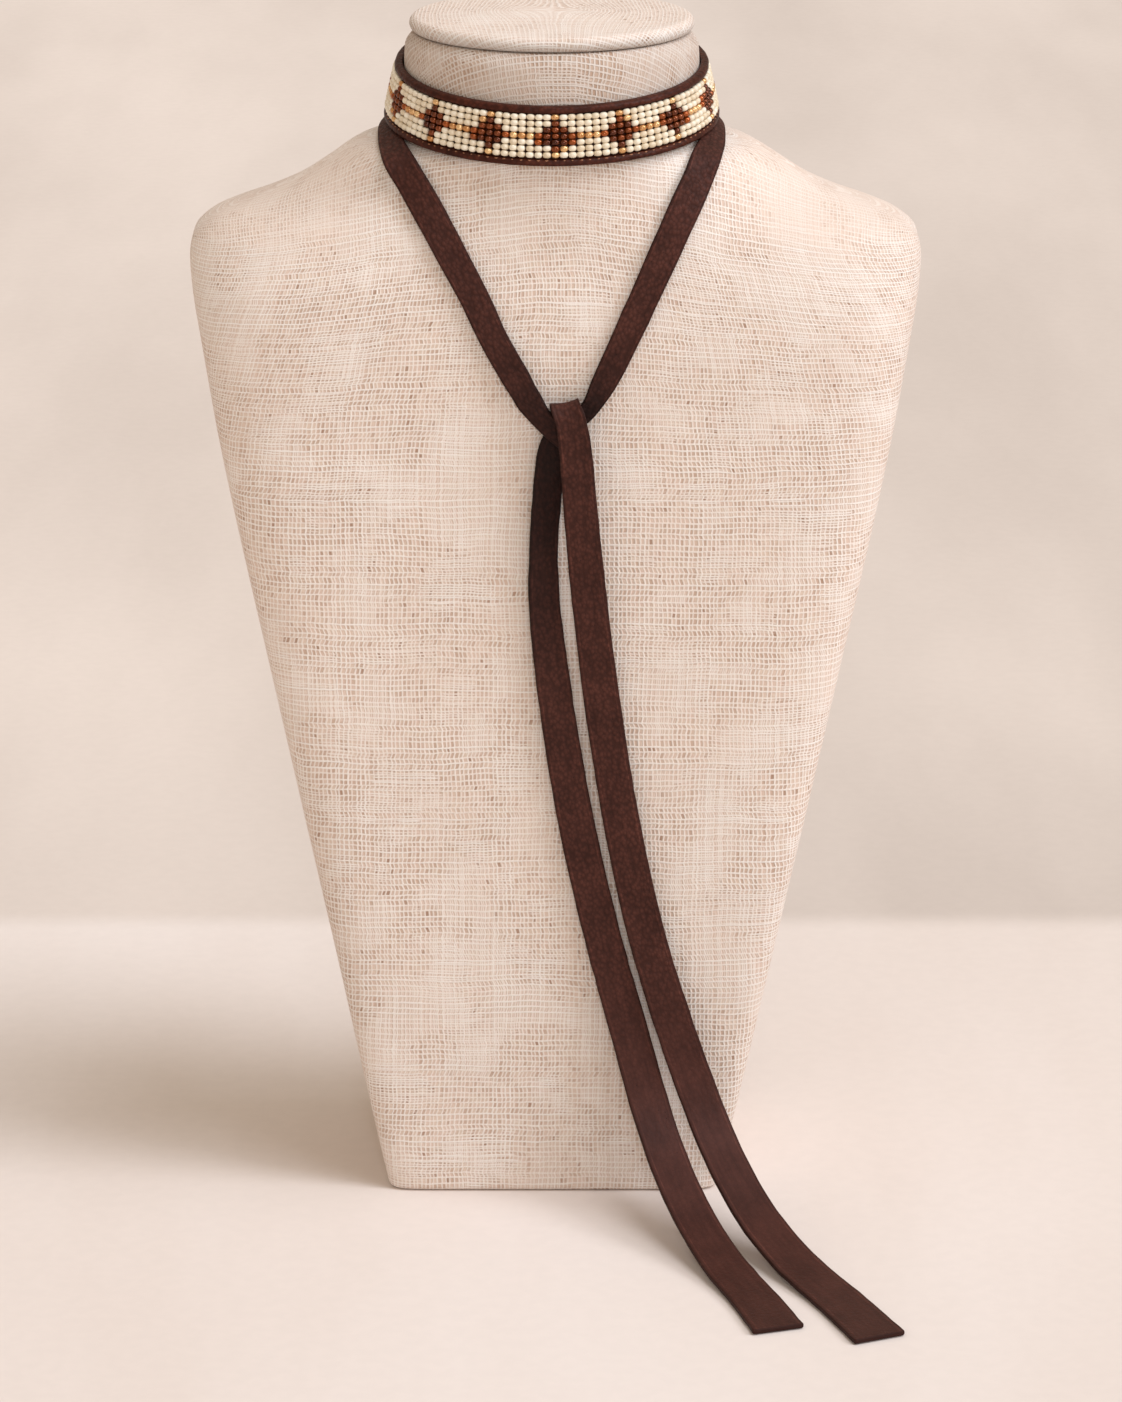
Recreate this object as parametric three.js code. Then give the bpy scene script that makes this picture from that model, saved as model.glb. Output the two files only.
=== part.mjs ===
// A leather lariat necklace with a beaded choker, worn on a linen-covered neck bust.
// Millimetres, +Z up. The origin is the centre of the bust's flat bottom, and the bust faces -Y.
import * as THREE from 'three';
import { mergeVertices } from 'three/addons/utils/BufferGeometryUtils.js';

// ---------------------------------------------------------------- driving dimensions

// Horizontal sections of the bust, from the bottom up. width and front and back are half sizes,
// squareness is the exponent of the superellipse (2 is an ellipse), and shift moves a section in X.
const BUST_SECTIONS = [
  { z: 0, width: 62.4, front: 46.3, back: 44, squareness: 16, shift: 0.2 },
  { z: 1.5, width: 63.5, front: 47.8, back: 45.5, squareness: 16, shift: 0.2 },
  { z: 6, width: 64.6, front: 47.8, back: 45.6, squareness: 16, shift: 0.3 },
  { z: 97, width: 84, front: 48.4, back: 47, squareness: 12, shift: 1 },
  { z: 194, width: 104.4, front: 50.5, back: 49, squareness: 9, shift: 1.2 },
  { z: 291, width: 124.2, front: 52.5, back: 50, squareness: 7, shift: 1.3 },
  { z: 330, width: 131, front: 52.5, back: 49, squareness: 5.5, shift: 1.4 },
  { z: 352, width: 134.6, front: 51, back: 47, squareness: 4.4, shift: 1.4 },
  { z: 361.5, width: 135.4, front: 49.5, back: 45, squareness: 3.6, shift: 1.4 },
  { z: 368, width: 134, front: 48.5, back: 43, squareness: 3.1, shift: 1.3 },
  { z: 374, width: 128, front: 48, back: 42.5, squareness: 2.7, shift: 1 },
  { z: 378.5, width: 118.5, front: 47.8, back: 42.5, squareness: 2.4, shift: 0.9 },
  { z: 382.5, width: 107.5, front: 47.6, back: 43, squareness: 2.2, shift: 0.9 },
  { z: 388, width: 95, front: 47.6, back: 44, squareness: 2.1, shift: 1 },
  { z: 395, width: 84, front: 47.8, back: 45.5, squareness: 2, shift: 1 },
  { z: 401.8, width: 73, front: 48.2, back: 46.5, squareness: 2, shift: 0.3 },
  { z: 404.4, width: 65, front: 48.4, back: 47, squareness: 2, shift: 0 },
  { z: 406.6, width: 59, front: 48.4, back: 47.3, squareness: 2, shift: 0 },
  { z: 409, width: 55.8, front: 48.2, back: 47.4, squareness: 2, shift: 0 },
  { z: 412, width: 54.6, front: 48, back: 47.4, squareness: 2, shift: 0 },
  { z: 432, width: 54.3, front: 47.4, back: 47.2, squareness: 2, shift: 0 },
  { z: 438, width: 53.9, front: 46.8, back: 46.8, squareness: 2, shift: 0 },
  { z: 442.6, width: 50.9, front: 43.6, back: 43.6, squareness: 2, shift: 0 },
];
const BUST_SIDES = 48;

// The padded disc on top of the neck: half width and half depth, thickness and the dome on it.
const CAP = { width: 52.3, depth: 44.2, bottom: 443, thick: 5.6, dome: 1.6, sides: 48 };

// The choker's leather band: a thin back with a thick roll along both edges, and the beads between.
// halfX and halfY are the inner half sizes at its lower and upper edge, bottom is the height of the
// lower edge at the sides, and pitch tips the front down.
const BAND = {
  tall: 20.4,
  thick: 2.8,
  core: 1,
  roll: 2.35,
  round: 0.7,
  bottom: 411.5,
  pitch: THREE.MathUtils.degToRad(7.7),
  low: { halfX: 59.3, halfY: 52.6 },
  high: { halfX: 54.7, halfY: 48.6 },
  backGap: 8,
  steps: 60,
};

// The loomed beads: size 8 seed beads, seven rows, in stretches of one pattern repeat each.
const BEADS = {
  rows: 7,
  rowPitch: 2.15,
  columnPitch: 3.07,
  outer: 3.2,
  valley: 2.5,
  repeat: 8,
  stretches: 9,
};
// The middle diamond lies 1.4 mm past the middle of the front. The panels hold as many columns past
// it as before it, itself counted among the ones past it, so their middle is half a column back.
const BEAD_SHIFT = 1.4 - BEADS.columnPitch / 2;

const CLASP = { wide: 24, low: 0.22, high: 0.78, thick: 1.4, steps: 6 };

// The lariat: one flat strap from tip to tip.
const STRAP_THICK = 1.9;
const STRAP_BEVEL = 0.5;
const STRAP_STEPS_PER_ROW = 2;
const GAP = 0.3;

// ---------------------------------------------------------------- materials

const linen = new THREE.MeshStandardMaterial({ color: 0xe0ccbb, roughness: 0.95, metalness: 0 });
const leather = new THREE.MeshStandardMaterial({ color: 0x3b211a, roughness: 0.55, metalness: 0 });
const bead = new THREE.MeshStandardMaterial({ color: 0xe4d6b8, roughness: 0.3, metalness: 0 });
const brass = new THREE.MeshStandardMaterial({ color: 0xb08d4a, roughness: 0.35, metalness: 1 });

// ---------------------------------------------------------------- general shapes

/** A closed mesh through rings of points, with a fan about the ring's middle at each end. */
function loft(rings) {
  const size = rings[0].length;
  const positions = rings.flat().flatMap((p) => [p.x, p.y, p.z]);
  const index = [];
  for (let i = 0; i < rings.length - 1; i += 1) {
    const here = i * size;
    const next = here + size;
    for (let j = 0; j < size; j += 1) {
      const k = (j + 1) % size;
      index.push(here + j, here + k, next + k, here + j, next + k, next + j);
    }
  }
  [0, rings.length - 1].forEach((i) => {
    const middle = new THREE.Vector3();
    rings[i].forEach((p) => middle.addScaledVector(p, 1 / size));
    const centre = positions.length / 3;
    positions.push(middle.x, middle.y, middle.z);
    for (let j = 0; j < size; j += 1) {
      const a = i * size + j;
      const b = i * size + ((j + 1) % size);
      if (i === 0) index.push(centre, b, a);
      else index.push(centre, a, b);
    }
  });
  const geometry = new THREE.BufferGeometry();
  geometry.setAttribute('position', new THREE.Float32BufferAttribute(positions, 3));
  geometry.setIndex(index);
  return mergeVertices(geometry, 1e-4);
}

/** Six times the volume that a mesh encloses, negative if its faces point inwards. */
function signedVolume(geometry) {
  const [a, b, c] = [new THREE.Vector3(), new THREE.Vector3(), new THREE.Vector3()];
  const { position } = geometry.attributes;
  const { array } = geometry.index;
  let total = 0;
  for (let i = 0; i < array.length; i += 3) {
    a.fromBufferAttribute(position, array[i]);
    b.fromBufferAttribute(position, array[i + 1]);
    c.fromBufferAttribute(position, array[i + 2]);
    total += a.dot(b.cross(c));
  }
  return total;
}

/** A named mesh whose faces point out. */
function piece(name, geometry, material) {
  if (signedVolume(geometry) < 0) {
    const { array } = geometry.index;
    for (let i = 0; i < array.length; i += 3) [array[i], array[i + 1]] = [array[i + 1], array[i]];
  }
  geometry.computeVertexNormals();
  const mesh = new THREE.Mesh(geometry, material);
  mesh.name = name;
  return mesh;
}

/** Smooth interpolation of one column of a table of rows that rise in key, without overshoot. */
function tableValue(rows, key, column, at) {
  const last = rows.length - 1;
  const clamped = THREE.MathUtils.clamp(at, rows[0][key], rows[last][key]);
  let i = 0;
  while (i < last - 1 && clamped > rows[i + 1][key]) i += 1;
  const rise = (k) => (rows[k + 1][column] - rows[k][column]) / (rows[k + 1][key] - rows[k][key]);
  const slope = (k) => {
    if (k === 0) return rise(0);
    if (k === last) return rise(last - 1);
    const before = rise(k - 1);
    const after = rise(k);
    return before * after <= 0 ? 0 : (2 * before * after) / (before + after);
  };
  const span = rows[i + 1][key] - rows[i][key];
  const t = (clamped - rows[i][key]) / span;
  const blend = t * t * (3 - 2 * t);
  const tangents = t * (1 - t) * ((1 - t) * slope(i) - t * slope(i + 1)) * span;
  return rows[i][column] * (1 - blend) + rows[i + 1][column] * blend + tangents;
}

// ---------------------------------------------------------------- bust

/** The bust's section at a height. */
function bustSection(z) {
  const value = (column) => tableValue(BUST_SECTIONS, 'z', column, z);
  return {
    width: value('width'),
    front: value('front'),
    back: value('back'),
    squareness: value('squareness'),
    shift: value('shift'),
  };
}

/** A point on the bust: angle 0 is its right side (+X), and -90 degrees its front. */
function bustPoint(angle, z) {
  const { width, front, back, squareness, shift } = bustSection(z);
  const swell = (value) => Math.sign(value) * Math.abs(value) ** (2 / squareness);
  const across = swell(Math.cos(angle));
  const along = swell(Math.sin(angle));
  return new THREE.Vector3(shift + width * across, (along < 0 ? front : back) * along, z);
}

/** The angle at which the front of the bust has the given X. */
function frontAngle(x, z) {
  const { width, squareness, shift } = bustSection(z);
  const across = THREE.MathUtils.clamp((x - shift) / width, -1, 1);
  return -Math.acos(Math.sign(across) * Math.abs(across) ** (squareness / 2));
}

/** The outward normal of the bust. */
function bustNormal(angle, z) {
  const step = 0.03;
  const around = bustPoint(angle + step, z).sub(bustPoint(angle - step, z));
  const up = bustPoint(angle, z + 1).sub(bustPoint(angle, z - 1));
  return around.cross(up).normalize();
}

function bustBody() {
  const heights = [];
  const add = (from, to, step) => {
    for (let z = from; z < to; z += step) heights.push(z);
  };
  heights.push(0, 1.5);
  add(6, 90, 40);
  add(97, 330, 48.5);
  add(330, 362, 8);
  add(362, 413, 3.2);
  add(413, 438, 6.25);
  heights.push(438, 441, 442.6);
  const rings = heights.map((z) => {
    const ring = [];
    for (let j = 0; j < BUST_SIDES; j += 1) ring.push(bustPoint((j / BUST_SIDES) * 2 * Math.PI, z));
    return ring;
  });
  return piece('bust_body', loft(rings), linen);
}

function neckCap() {
  const round = CAP.thick / 2;
  const rim = [-90, -50, -20, 10, 40, 70, 90].map((degrees) => {
    const angle = THREE.MathUtils.degToRad(degrees);
    return { inset: round * (1 - Math.cos(angle)), z: CAP.bottom + round * (1 + Math.sin(angle)) };
  });
  const dome = [0.3, 0.7].map((part) => ({
    inset: round + (CAP.depth - round) * part,
    z: CAP.bottom + CAP.thick + CAP.dome * Math.sin((part * Math.PI) / 2),
  }));
  const rings = [...rim, ...dome].map(({ inset, z }) => {
    const ring = [];
    for (let j = 0; j < CAP.sides; j += 1) {
      const angle = (j / CAP.sides) * 2 * Math.PI;
      const x = (CAP.width - inset) * Math.cos(angle);
      ring.push(new THREE.Vector3(x, (CAP.depth - inset) * Math.sin(angle), z));
    }
    return ring;
  });
  return piece('neck_cap', loft(rings), linen);
}

// ---------------------------------------------------------------- choker

/**
 * A point of the choker: height is 0 at the band's lower edge and 1 at its upper edge, and out is the
 * distance outwards from the band's inner face. Angle -90 degrees is the front.
 */
function chokerPoint(angle, height, out) {
  const halfX = THREE.MathUtils.lerp(BAND.low.halfX, BAND.high.halfX, height) + out;
  const halfY = THREE.MathUtils.lerp(BAND.low.halfY, BAND.high.halfY, height) + out;
  const y = halfY * Math.sin(angle);
  const z = BAND.bottom + height * BAND.tall + y * Math.tan(BAND.pitch);
  return new THREE.Vector3(halfX * Math.cos(angle), y, z);
}

/** The angle that lies an arc length along the band's outer face from the middle of the front. */
function chokerAngle(arc) {
  const slices = 200;
  let angle = -Math.PI / 2;
  let before = chokerPoint(angle, 0.5, BAND.thick);
  let left = Math.abs(arc);
  const turn = (Math.sign(arc) * 1.3 * Math.PI) / slices;
  for (let i = 0; i < slices && left > 0; i += 1) {
    const after = chokerPoint(angle + turn, 0.5, BAND.thick);
    const length = after.distanceTo(before);
    const part = Math.min(1, left / length);
    angle += turn * part;
    left -= length;
    before = after;
  }
  return angle;
}

/** Half the band's loop along its outer face, from the front to the middle of the back. */
function chokerHalfLength() {
  let length = 0;
  let before = chokerPoint(-Math.PI / 2, 0.5, BAND.thick);
  for (let i = 1; i <= 200; i += 1) {
    const after = chokerPoint(-Math.PI / 2 + (i / 200) * Math.PI, 0.5, BAND.thick);
    length += after.distanceTo(before);
    before = after;
  }
  return length;
}

/** The band's section. core is the thickness between the two rolls. */
function bandOutline(core) {
  const roll = BAND.roll / BAND.tall;
  const round = BAND.round / BAND.tall;
  const { thick } = BAND;
  return [
    { height: 0, out: BAND.round },
    { height: 0, out: thick - BAND.round },
    { height: round, out: thick },
    { height: roll - round, out: thick },
    { height: roll, out: thick - 0.4 },
    { height: roll, out: core },
    { height: 1 - roll, out: core },
    { height: 1 - roll, out: thick - 0.4 },
    { height: 1 - roll + round, out: thick },
    { height: 1 - round, out: thick },
    { height: 1, out: thick - BAND.round },
    { height: 1, out: BAND.round },
    { height: 1 - round, out: 0 },
    { height: round, out: 0 },
  ];
}

/** The band is hollowed out between the rolls where the beads are, and nearly flat past them. */
function chokerBand() {
  const reach = chokerHalfLength() - BAND.backGap / 2;
  const beaded = (BEADS.stretches * BEADS.repeat * BEADS.columnPitch) / 2 + GAP;
  const ends = [BEAD_SHIFT - beaded, BEAD_SHIFT + beaded];
  const arcs = [ends[0] - 1, ends[0], ends[1], ends[1] + 1];
  for (let i = 0; i <= BAND.steps; i += 1) {
    const arc = THREE.MathUtils.lerp(-reach, reach, i / BAND.steps);
    if (ends.every((end) => Math.abs(arc - end) > 2)) arcs.push(arc);
  }
  arcs.sort((a, b) => a - b);
  const rings = arcs.map((arc) => {
    const angle = chokerAngle(arc);
    const core = arc >= ends[0] && arc <= ends[1] ? BAND.core : BAND.thick - 0.6;
    return bandOutline(core).map(({ height, out }) => chokerPoint(angle, height, out));
  });
  return piece('choker_band', loft(rings), leather);
}

/** One stretch of loomed beads, one repeat of the diamonds long, with a ridge for each column. */
function beadPanel(number) {
  const length = BEADS.repeat * BEADS.columnPitch;
  const middle = (number - (BEADS.stretches + 1) / 2) * length + BEAD_SHIFT;
  const half = (BEADS.rows * BEADS.rowPitch) / BAND.tall / 2;
  const inner = BAND.core + GAP;
  const rings = [];
  for (let i = 0; i <= 2 * BEADS.repeat; i += 1) {
    const along = THREE.MathUtils.lerp(GAP / 2, length - GAP / 2, i / (2 * BEADS.repeat));
    const angle = chokerAngle(middle - length / 2 + along);
    const outer = i % 2 === 1 ? BEADS.outer : BEADS.valley;
    rings.push([
      chokerPoint(angle, 0.5 - half, inner),
      chokerPoint(angle, 0.5 - half, outer - 0.7),
      chokerPoint(angle, 0.5 - half * 0.9, outer),
      chokerPoint(angle, 0.5 + half * 0.9, outer),
      chokerPoint(angle, 0.5 + half, outer - 0.7),
      chokerPoint(angle, 0.5 + half, inner),
    ]);
  }
  return piece(`bead_panel_${number}`, loft(rings), bead);
}

/** A plain bowed plate that joins the band's two ends at the back. */
function chokerClasp() {
  const half = chokerHalfLength();
  const inner = BAND.thick + GAP;
  const rings = [];
  for (let i = 0; i <= CLASP.steps; i += 1) {
    const angle = chokerAngle(half + THREE.MathUtils.lerp(-CLASP.wide / 2, CLASP.wide / 2, i / CLASP.steps));
    rings.push([
      chokerPoint(angle, CLASP.low, inner),
      chokerPoint(angle, CLASP.low, inner + CLASP.thick),
      chokerPoint(angle, CLASP.high, inner + CLASP.thick),
      chokerPoint(angle, CLASP.high, inner),
    ]);
  }
  return piece('choker_clasp', loft(rings), brass);
}

// ---------------------------------------------------------------- lariat strap

// The strap's route from the end of the back tail to the end of the front tail, along its middle.
// A row { x, z, lift } lies over the bust's front at a distance and faces away from it. A row with y
// is free: it faces square to the route, and swing turns its width in plan, in degrees. A row with a
// face has the strap's outer side face that way.
const FORWARD = [0, -1, 0];
const INTO_CHEST = [0, 1, 0];
const ROUND_THE_STRAP = [0.75, 0, -0.66];
const ROUTE = [
  // back tail: from its end on the floor, up in front of the base and along the chest
  { x: 82.3, y: -174.8, z: 1.2, swing: 18, wide: 19.6 },
  { x: 74.6, y: -150, z: 1.3, swing: 18, wide: 18.6 },
  { x: 68.4, y: -134.8, z: 2.4, swing: 18, wide: 17.8 },
  { x: 62.6, y: -122, z: 4.8, swing: 19, wide: 17.2 },
  { x: 53.8, y: -102, z: 12, swing: 20, wide: 16.4 },
  { x: 46.8, y: -85.8, z: 21.2, swing: 18, wide: 15.8 },
  { x: 41.1, y: -71.5, z: 31.8, swing: 15, wide: 15.3 },
  { x: 36.3, y: -62, z: 44.5, swing: 11, wide: 14.9 },
  { x: 29.8, y: -54.9, z: 66.9, swing: 6, wide: 14.5 },
  { x: 19.5, y: -51.3, z: 104.5, swing: 2, wide: 14 },
  { x: 10.5, y: -51.9, z: 145, swing: 0, wide: 13.6 },
  { x: 4.9, y: -52.6, z: 177, swing: 1, wide: 13.3 },
  { x: 0.4, y: -53.4, z: 209, swing: 6, wide: 12.8 },
  { x: -2.8, y: -54.5, z: 240, swing: 14, wide: 11.8 },
  { x: -2.9, y: -55.2, z: 263, swing: 20, wide: 11 },
  { x: -1.8, y: -55.8, z: 279.5, swing: 16, wide: 11 },
  // under the knot and up the right of the chest
  { x: -0.7, z: 292.5, lift: 3.6, face: FORWARD, wide: 10.6 },
  { x: 0, z: 298.3, lift: 3.7, face: FORWARD, wide: 9.9 },
  { x: 1.7, z: 303, lift: 3.7, face: FORWARD, wide: 9.2 },
  { x: 5.4, z: 306.7, lift: 3.7, face: FORWARD, wide: 7.4 },
  { x: 10.6, z: 310.8, lift: 3.7, face: FORWARD, wide: 6.4 },
  { x: 14.2, z: 314.7, lift: 3.4, face: FORWARD, wide: 6.7 },
  { x: 18.2, z: 321.8, lift: 2.6, face: FORWARD, wide: 8.8 },
  { x: 22.3, z: 330, lift: 2, wide: 9.9 },
  { x: 26.7, z: 339.4, lift: 1.8, wide: 10.4 },
  { x: 33.4, z: 354, lift: 1.6, wide: 10.8 },
  { x: 39.9, z: 368.3, lift: 1.8, wide: 11.2 },
  { x: 46.3, z: 382.3, lift: 2, wide: 11.6 },
  { x: 52.2, z: 395, lift: 2, wide: 11.4 },
  // round the neck, tucked under the lower edge of the choker
  { x: 55.9, y: -34.3, z: 402.1, face: [0.3, -0.42, 0.86], wide: 11 },
  { x: 58.7, y: -22, z: 405.8, face: [0.33, -0.26, 0.9], wide: 9.6 },
  { x: 59.3, y: -11, z: 408.2, face: [0.42, -0.11, 0.9], wide: 9.6 },
  { x: 59.3, y: -1, z: 410, face: [0.57, 0, 0.82], wide: 9.6 },
  { x: 57.2, y: 10, z: 412, face: [0.78, 0.1, 0.62], wide: 9.8 },
  { x: 52.5, y: 21.3, z: 413.9, face: [0.86, 0.42, 0.28], wide: 10.2 },
  { x: 42, y: 33.9, z: 414, face: [0.69, 0.72, 0.05], wide: 10.8 },
  { x: 23.4, y: 45.2, z: 413, face: [0.33, 0.94, 0], wide: 11.4 },
  { x: 0, y: 49.3, z: 412, face: [0, 1, 0], wide: 11.6 },
  { x: -23.4, y: 45.2, z: 413, face: [-0.33, 0.94, 0], wide: 11.4 },
  { x: -42, y: 33.9, z: 414, face: [-0.69, 0.72, 0.05], wide: 10.8 },
  { x: -52.5, y: 21.3, z: 413.9, face: [-0.86, 0.42, 0.28], wide: 10.2 },
  { x: -57.2, y: 10, z: 412, face: [-0.78, 0.1, 0.62], wide: 9.8 },
  { x: -59.3, y: -1, z: 410, face: [-0.57, 0, 0.82], wide: 9.6 },
  { x: -59.3, y: -11, z: 408.2, face: [-0.42, -0.11, 0.9], wide: 9.6 },
  { x: -58.7, y: -22, z: 405.8, face: [-0.33, -0.26, 0.9], wide: 9.6 },
  { x: -55.9, y: -34.3, z: 402.1, face: [-0.3, -0.42, 0.86], wide: 11 },
  // down the left of the chest and over the right strap
  { x: -50.6, z: 395, lift: 2, wide: 11.4 },
  { x: -43, z: 382.3, lift: 2, wide: 11.6 },
  { x: -35.4, z: 368.3, lift: 1.8, wide: 11.2 },
  { x: -27.8, z: 354, lift: 1.6, wide: 10.8 },
  { x: -21, z: 339.4, lift: 1.8, wide: 10.4 },
  { x: -12.7, z: 324.8, lift: 2.8, wide: 10.2 },
  { x: -8.4, z: 317.4, lift: 4, face: FORWARD, wide: 9.8 },
  { x: -4, z: 311.3, lift: 5.3, face: FORWARD, wide: 8.1 },
  { x: -1.2, z: 308.4, lift: 5.9, face: FORWARD, wide: 7.8 },
  { x: 1.6, z: 305.7, lift: 6, face: FORWARD, wide: 7.6 },
  { x: 6.5, z: 301.4, lift: 5.9, face: FORWARD, wide: 7.4 },
  // hidden: round the right strap's edge and up behind both straps
  { x: 8, z: 300, lift: 5.2, face: [0.53, -0.71, -0.47], wide: 7.4 },
  { x: 8.6, z: 299.5, lift: 3.6, face: ROUND_THE_STRAP, wide: 7.4 },
  { x: 8, z: 300, lift: 2, face: [0.53, 0.71, -0.47], wide: 7.4 },
  { x: 6.4, z: 301.4, lift: 1.35, face: INTO_CHEST, wide: 7.4 },
  { x: 4.7, z: 303.4, lift: 1.3, face: INTO_CHEST, wide: 7.6 },
  { x: 4.2, z: 306.2, lift: 1.3, face: INTO_CHEST, wide: 8.6 },
  { x: 4.5, z: 312.4, lift: 1.35, face: INTO_CHEST, wide: 10.2 },
  // the fold over the top, and the front tail down to the floor
  { x: 4.6, z: 315, lift: 2.4, face: [-0.1, 0.71, 0.71], wide: 10.8 },
  { x: 4.7, z: 316, lift: 4.9, face: [-0.19, 0, 1], wide: 11 },
  { x: 5.3, z: 314.7, lift: 7.4, face: [-0.1, -0.71, 0.71], wide: 11 },
  { x: 6.7, z: 311.8, lift: 8.6, face: FORWARD, wide: 11.2 },
  { x: 8, z: 304.8, lift: 8.8, face: FORWARD, wide: 11.6 },
  { x: 9.3, z: 293, lift: 8.7, face: FORWARD, wide: 12 },
  { x: 10.2, z: 281, lift: 8.4, face: FORWARD, wide: 12.4 },
  { x: 13.9, y: -57.4, z: 241.3, swing: 0, wide: 13.1 },
  { x: 19.7, y: -54.8, z: 193.5, swing: 0, wide: 13.5 },
  { x: 27.4, y: -53.4, z: 145.8, swing: 0, wide: 13.8 },
  { x: 36.2, y: -52.9, z: 105.2, swing: 2, wide: 14.2 },
  { x: 47.7, y: -56.3, z: 67.5, swing: 6, wide: 14.7 },
  { x: 56.2, y: -62.4, z: 44.6, swing: 11, wide: 15.2 },
  { x: 62.2, y: -71.8, z: 31.8, swing: 16, wide: 15.8 },
  { x: 69.2, y: -86, z: 21.3, swing: 20, wide: 16.4 },
  { x: 77.8, y: -102, z: 12, swing: 23, wide: 17.2 },
  { x: 89.4, y: -122, z: 4.8, swing: 25, wide: 18.3 },
  { x: 97, y: -134.8, z: 2.4, swing: 25, wide: 18.9 },
  { x: 105.2, y: -150, z: 1.3, swing: 24, wide: 19.4 },
  { x: 118.7, y: -182, z: 1.2, swing: 21, wide: 20.4 },
];

/** The place of a row of the route, and the way that the strap faces there if the row settles it. */
function placeRow(row) {
  const face = row.face && new THREE.Vector3(...row.face);
  if (row.y !== undefined) return { at: new THREE.Vector3(row.x, row.y, row.z), face };
  const angle = frontAngle(row.x, row.z);
  const normal = bustNormal(angle, row.z);
  const push = face ? new THREE.Vector3(...FORWARD) : normal;
  return { at: bustPoint(angle, row.z).addScaledVector(push, row.lift), face: face || normal };
}

/** The way that a free row faces: square to the route, with its width level and turned by swing. */
function freeFace(places, i) {
  const before = places[Math.max(0, i - 1)].at;
  const after = places[Math.min(places.length - 1, i + 1)].at;
  const swing = THREE.MathUtils.degToRad(ROUTE[i].swing);
  const across = new THREE.Vector3(Math.cos(swing), Math.sin(swing), 0);
  const face = after.clone().sub(before).cross(across).normalize();
  return face.z - face.y < 0 ? face.negate() : face;
}

function lariatStrap() {
  const places = ROUTE.map(placeRow);
  places.forEach((place, i) => {
    if (!place.face) place.face = freeFace(places, i);
  });
  const route = new THREE.CatmullRomCurve3(places.map(({ at }) => at), false, 'centripetal');
  const faces = new THREE.CatmullRomCurve3(places.map(({ face }) => face));
  const widths = new THREE.CatmullRomCurve3(ROUTE.map(({ wide }) => new THREE.Vector3(wide, 0, 0)));
  const steps = (ROUTE.length - 1) * STRAP_STEPS_PER_ROW;
  const half = STRAP_THICK / 2;
  const rings = [];
  for (let i = 0; i <= steps; i += 1) {
    const t = i / steps;
    const at = route.getPoint(t);
    const along = route.getTangent(t);
    const face = faces.getPoint(t);
    face.addScaledVector(along, -face.dot(along)).normalize();
    const across = new THREE.Vector3().crossVectors(along, face);
    const side = widths.getPoint(t).x / 2;
    const corner = (a, b) => at.clone().addScaledVector(across, a).addScaledVector(face, b);
    rings.push([
      corner(side, -half + STRAP_BEVEL),
      corner(side, half - STRAP_BEVEL),
      corner(side - STRAP_BEVEL, half),
      corner(-side + STRAP_BEVEL, half),
      corner(-side, half - STRAP_BEVEL),
      corner(-side, -half + STRAP_BEVEL),
      corner(-side + STRAP_BEVEL, -half),
      corner(side - STRAP_BEVEL, -half),
    ]);
  }
  return piece('lariat_strap', loft(rings), leather);
}

// ---------------------------------------------------------------- assembly

const bust = new THREE.Group();
bust.add(bustBody(), neckCap());

const choker = new THREE.Group();
choker.add(chokerBand(), chokerClasp());
for (let number = 1; number <= BEADS.stretches; number += 1) choker.add(beadPanel(number));

const necklace = new THREE.Group();
necklace.add(choker, lariatStrap());

const model = new THREE.Group();
model.add(bust, necklace);

export default model;
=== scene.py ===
"""The looks of a leather lariat necklace with a beaded choker, worn on a linen-covered neck bust.

Tables and formulas are in millimetres and repeat the part's source; meshes are made in metres.
"""

import math
from functools import reduce

import bpy
import numpy as np
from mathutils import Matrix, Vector


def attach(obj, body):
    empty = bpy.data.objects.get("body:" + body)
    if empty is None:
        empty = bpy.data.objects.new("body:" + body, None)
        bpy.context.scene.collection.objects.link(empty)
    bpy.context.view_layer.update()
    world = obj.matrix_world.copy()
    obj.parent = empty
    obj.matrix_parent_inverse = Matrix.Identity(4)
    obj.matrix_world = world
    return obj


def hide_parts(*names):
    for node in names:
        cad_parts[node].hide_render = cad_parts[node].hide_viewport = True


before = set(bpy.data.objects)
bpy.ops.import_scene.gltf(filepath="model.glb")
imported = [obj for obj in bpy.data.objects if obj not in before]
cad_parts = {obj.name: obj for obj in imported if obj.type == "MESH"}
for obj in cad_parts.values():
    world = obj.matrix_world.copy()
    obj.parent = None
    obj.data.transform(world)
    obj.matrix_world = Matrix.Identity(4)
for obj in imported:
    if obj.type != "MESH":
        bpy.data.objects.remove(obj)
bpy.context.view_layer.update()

MM = 0.001
BODY = "root"
# The angle of the middle of the front
FRONT = -math.pi / 2

# ---------- camera

camera = bpy.data.objects.new("camera", bpy.data.cameras.new("camera"))
bpy.context.scene.collection.objects.link(camera)
camera.data.lens = 141.2
camera.data.sensor_width = 36
camera.location = (0.0034, -1.992, 0.8531)
camera.rotation_euler = (math.radians(71.4), 0, 0)
bpy.context.scene.camera = camera
bpy.context.scene.view_settings.view_transform = "Standard"

# ---------- driving dimensions

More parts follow.
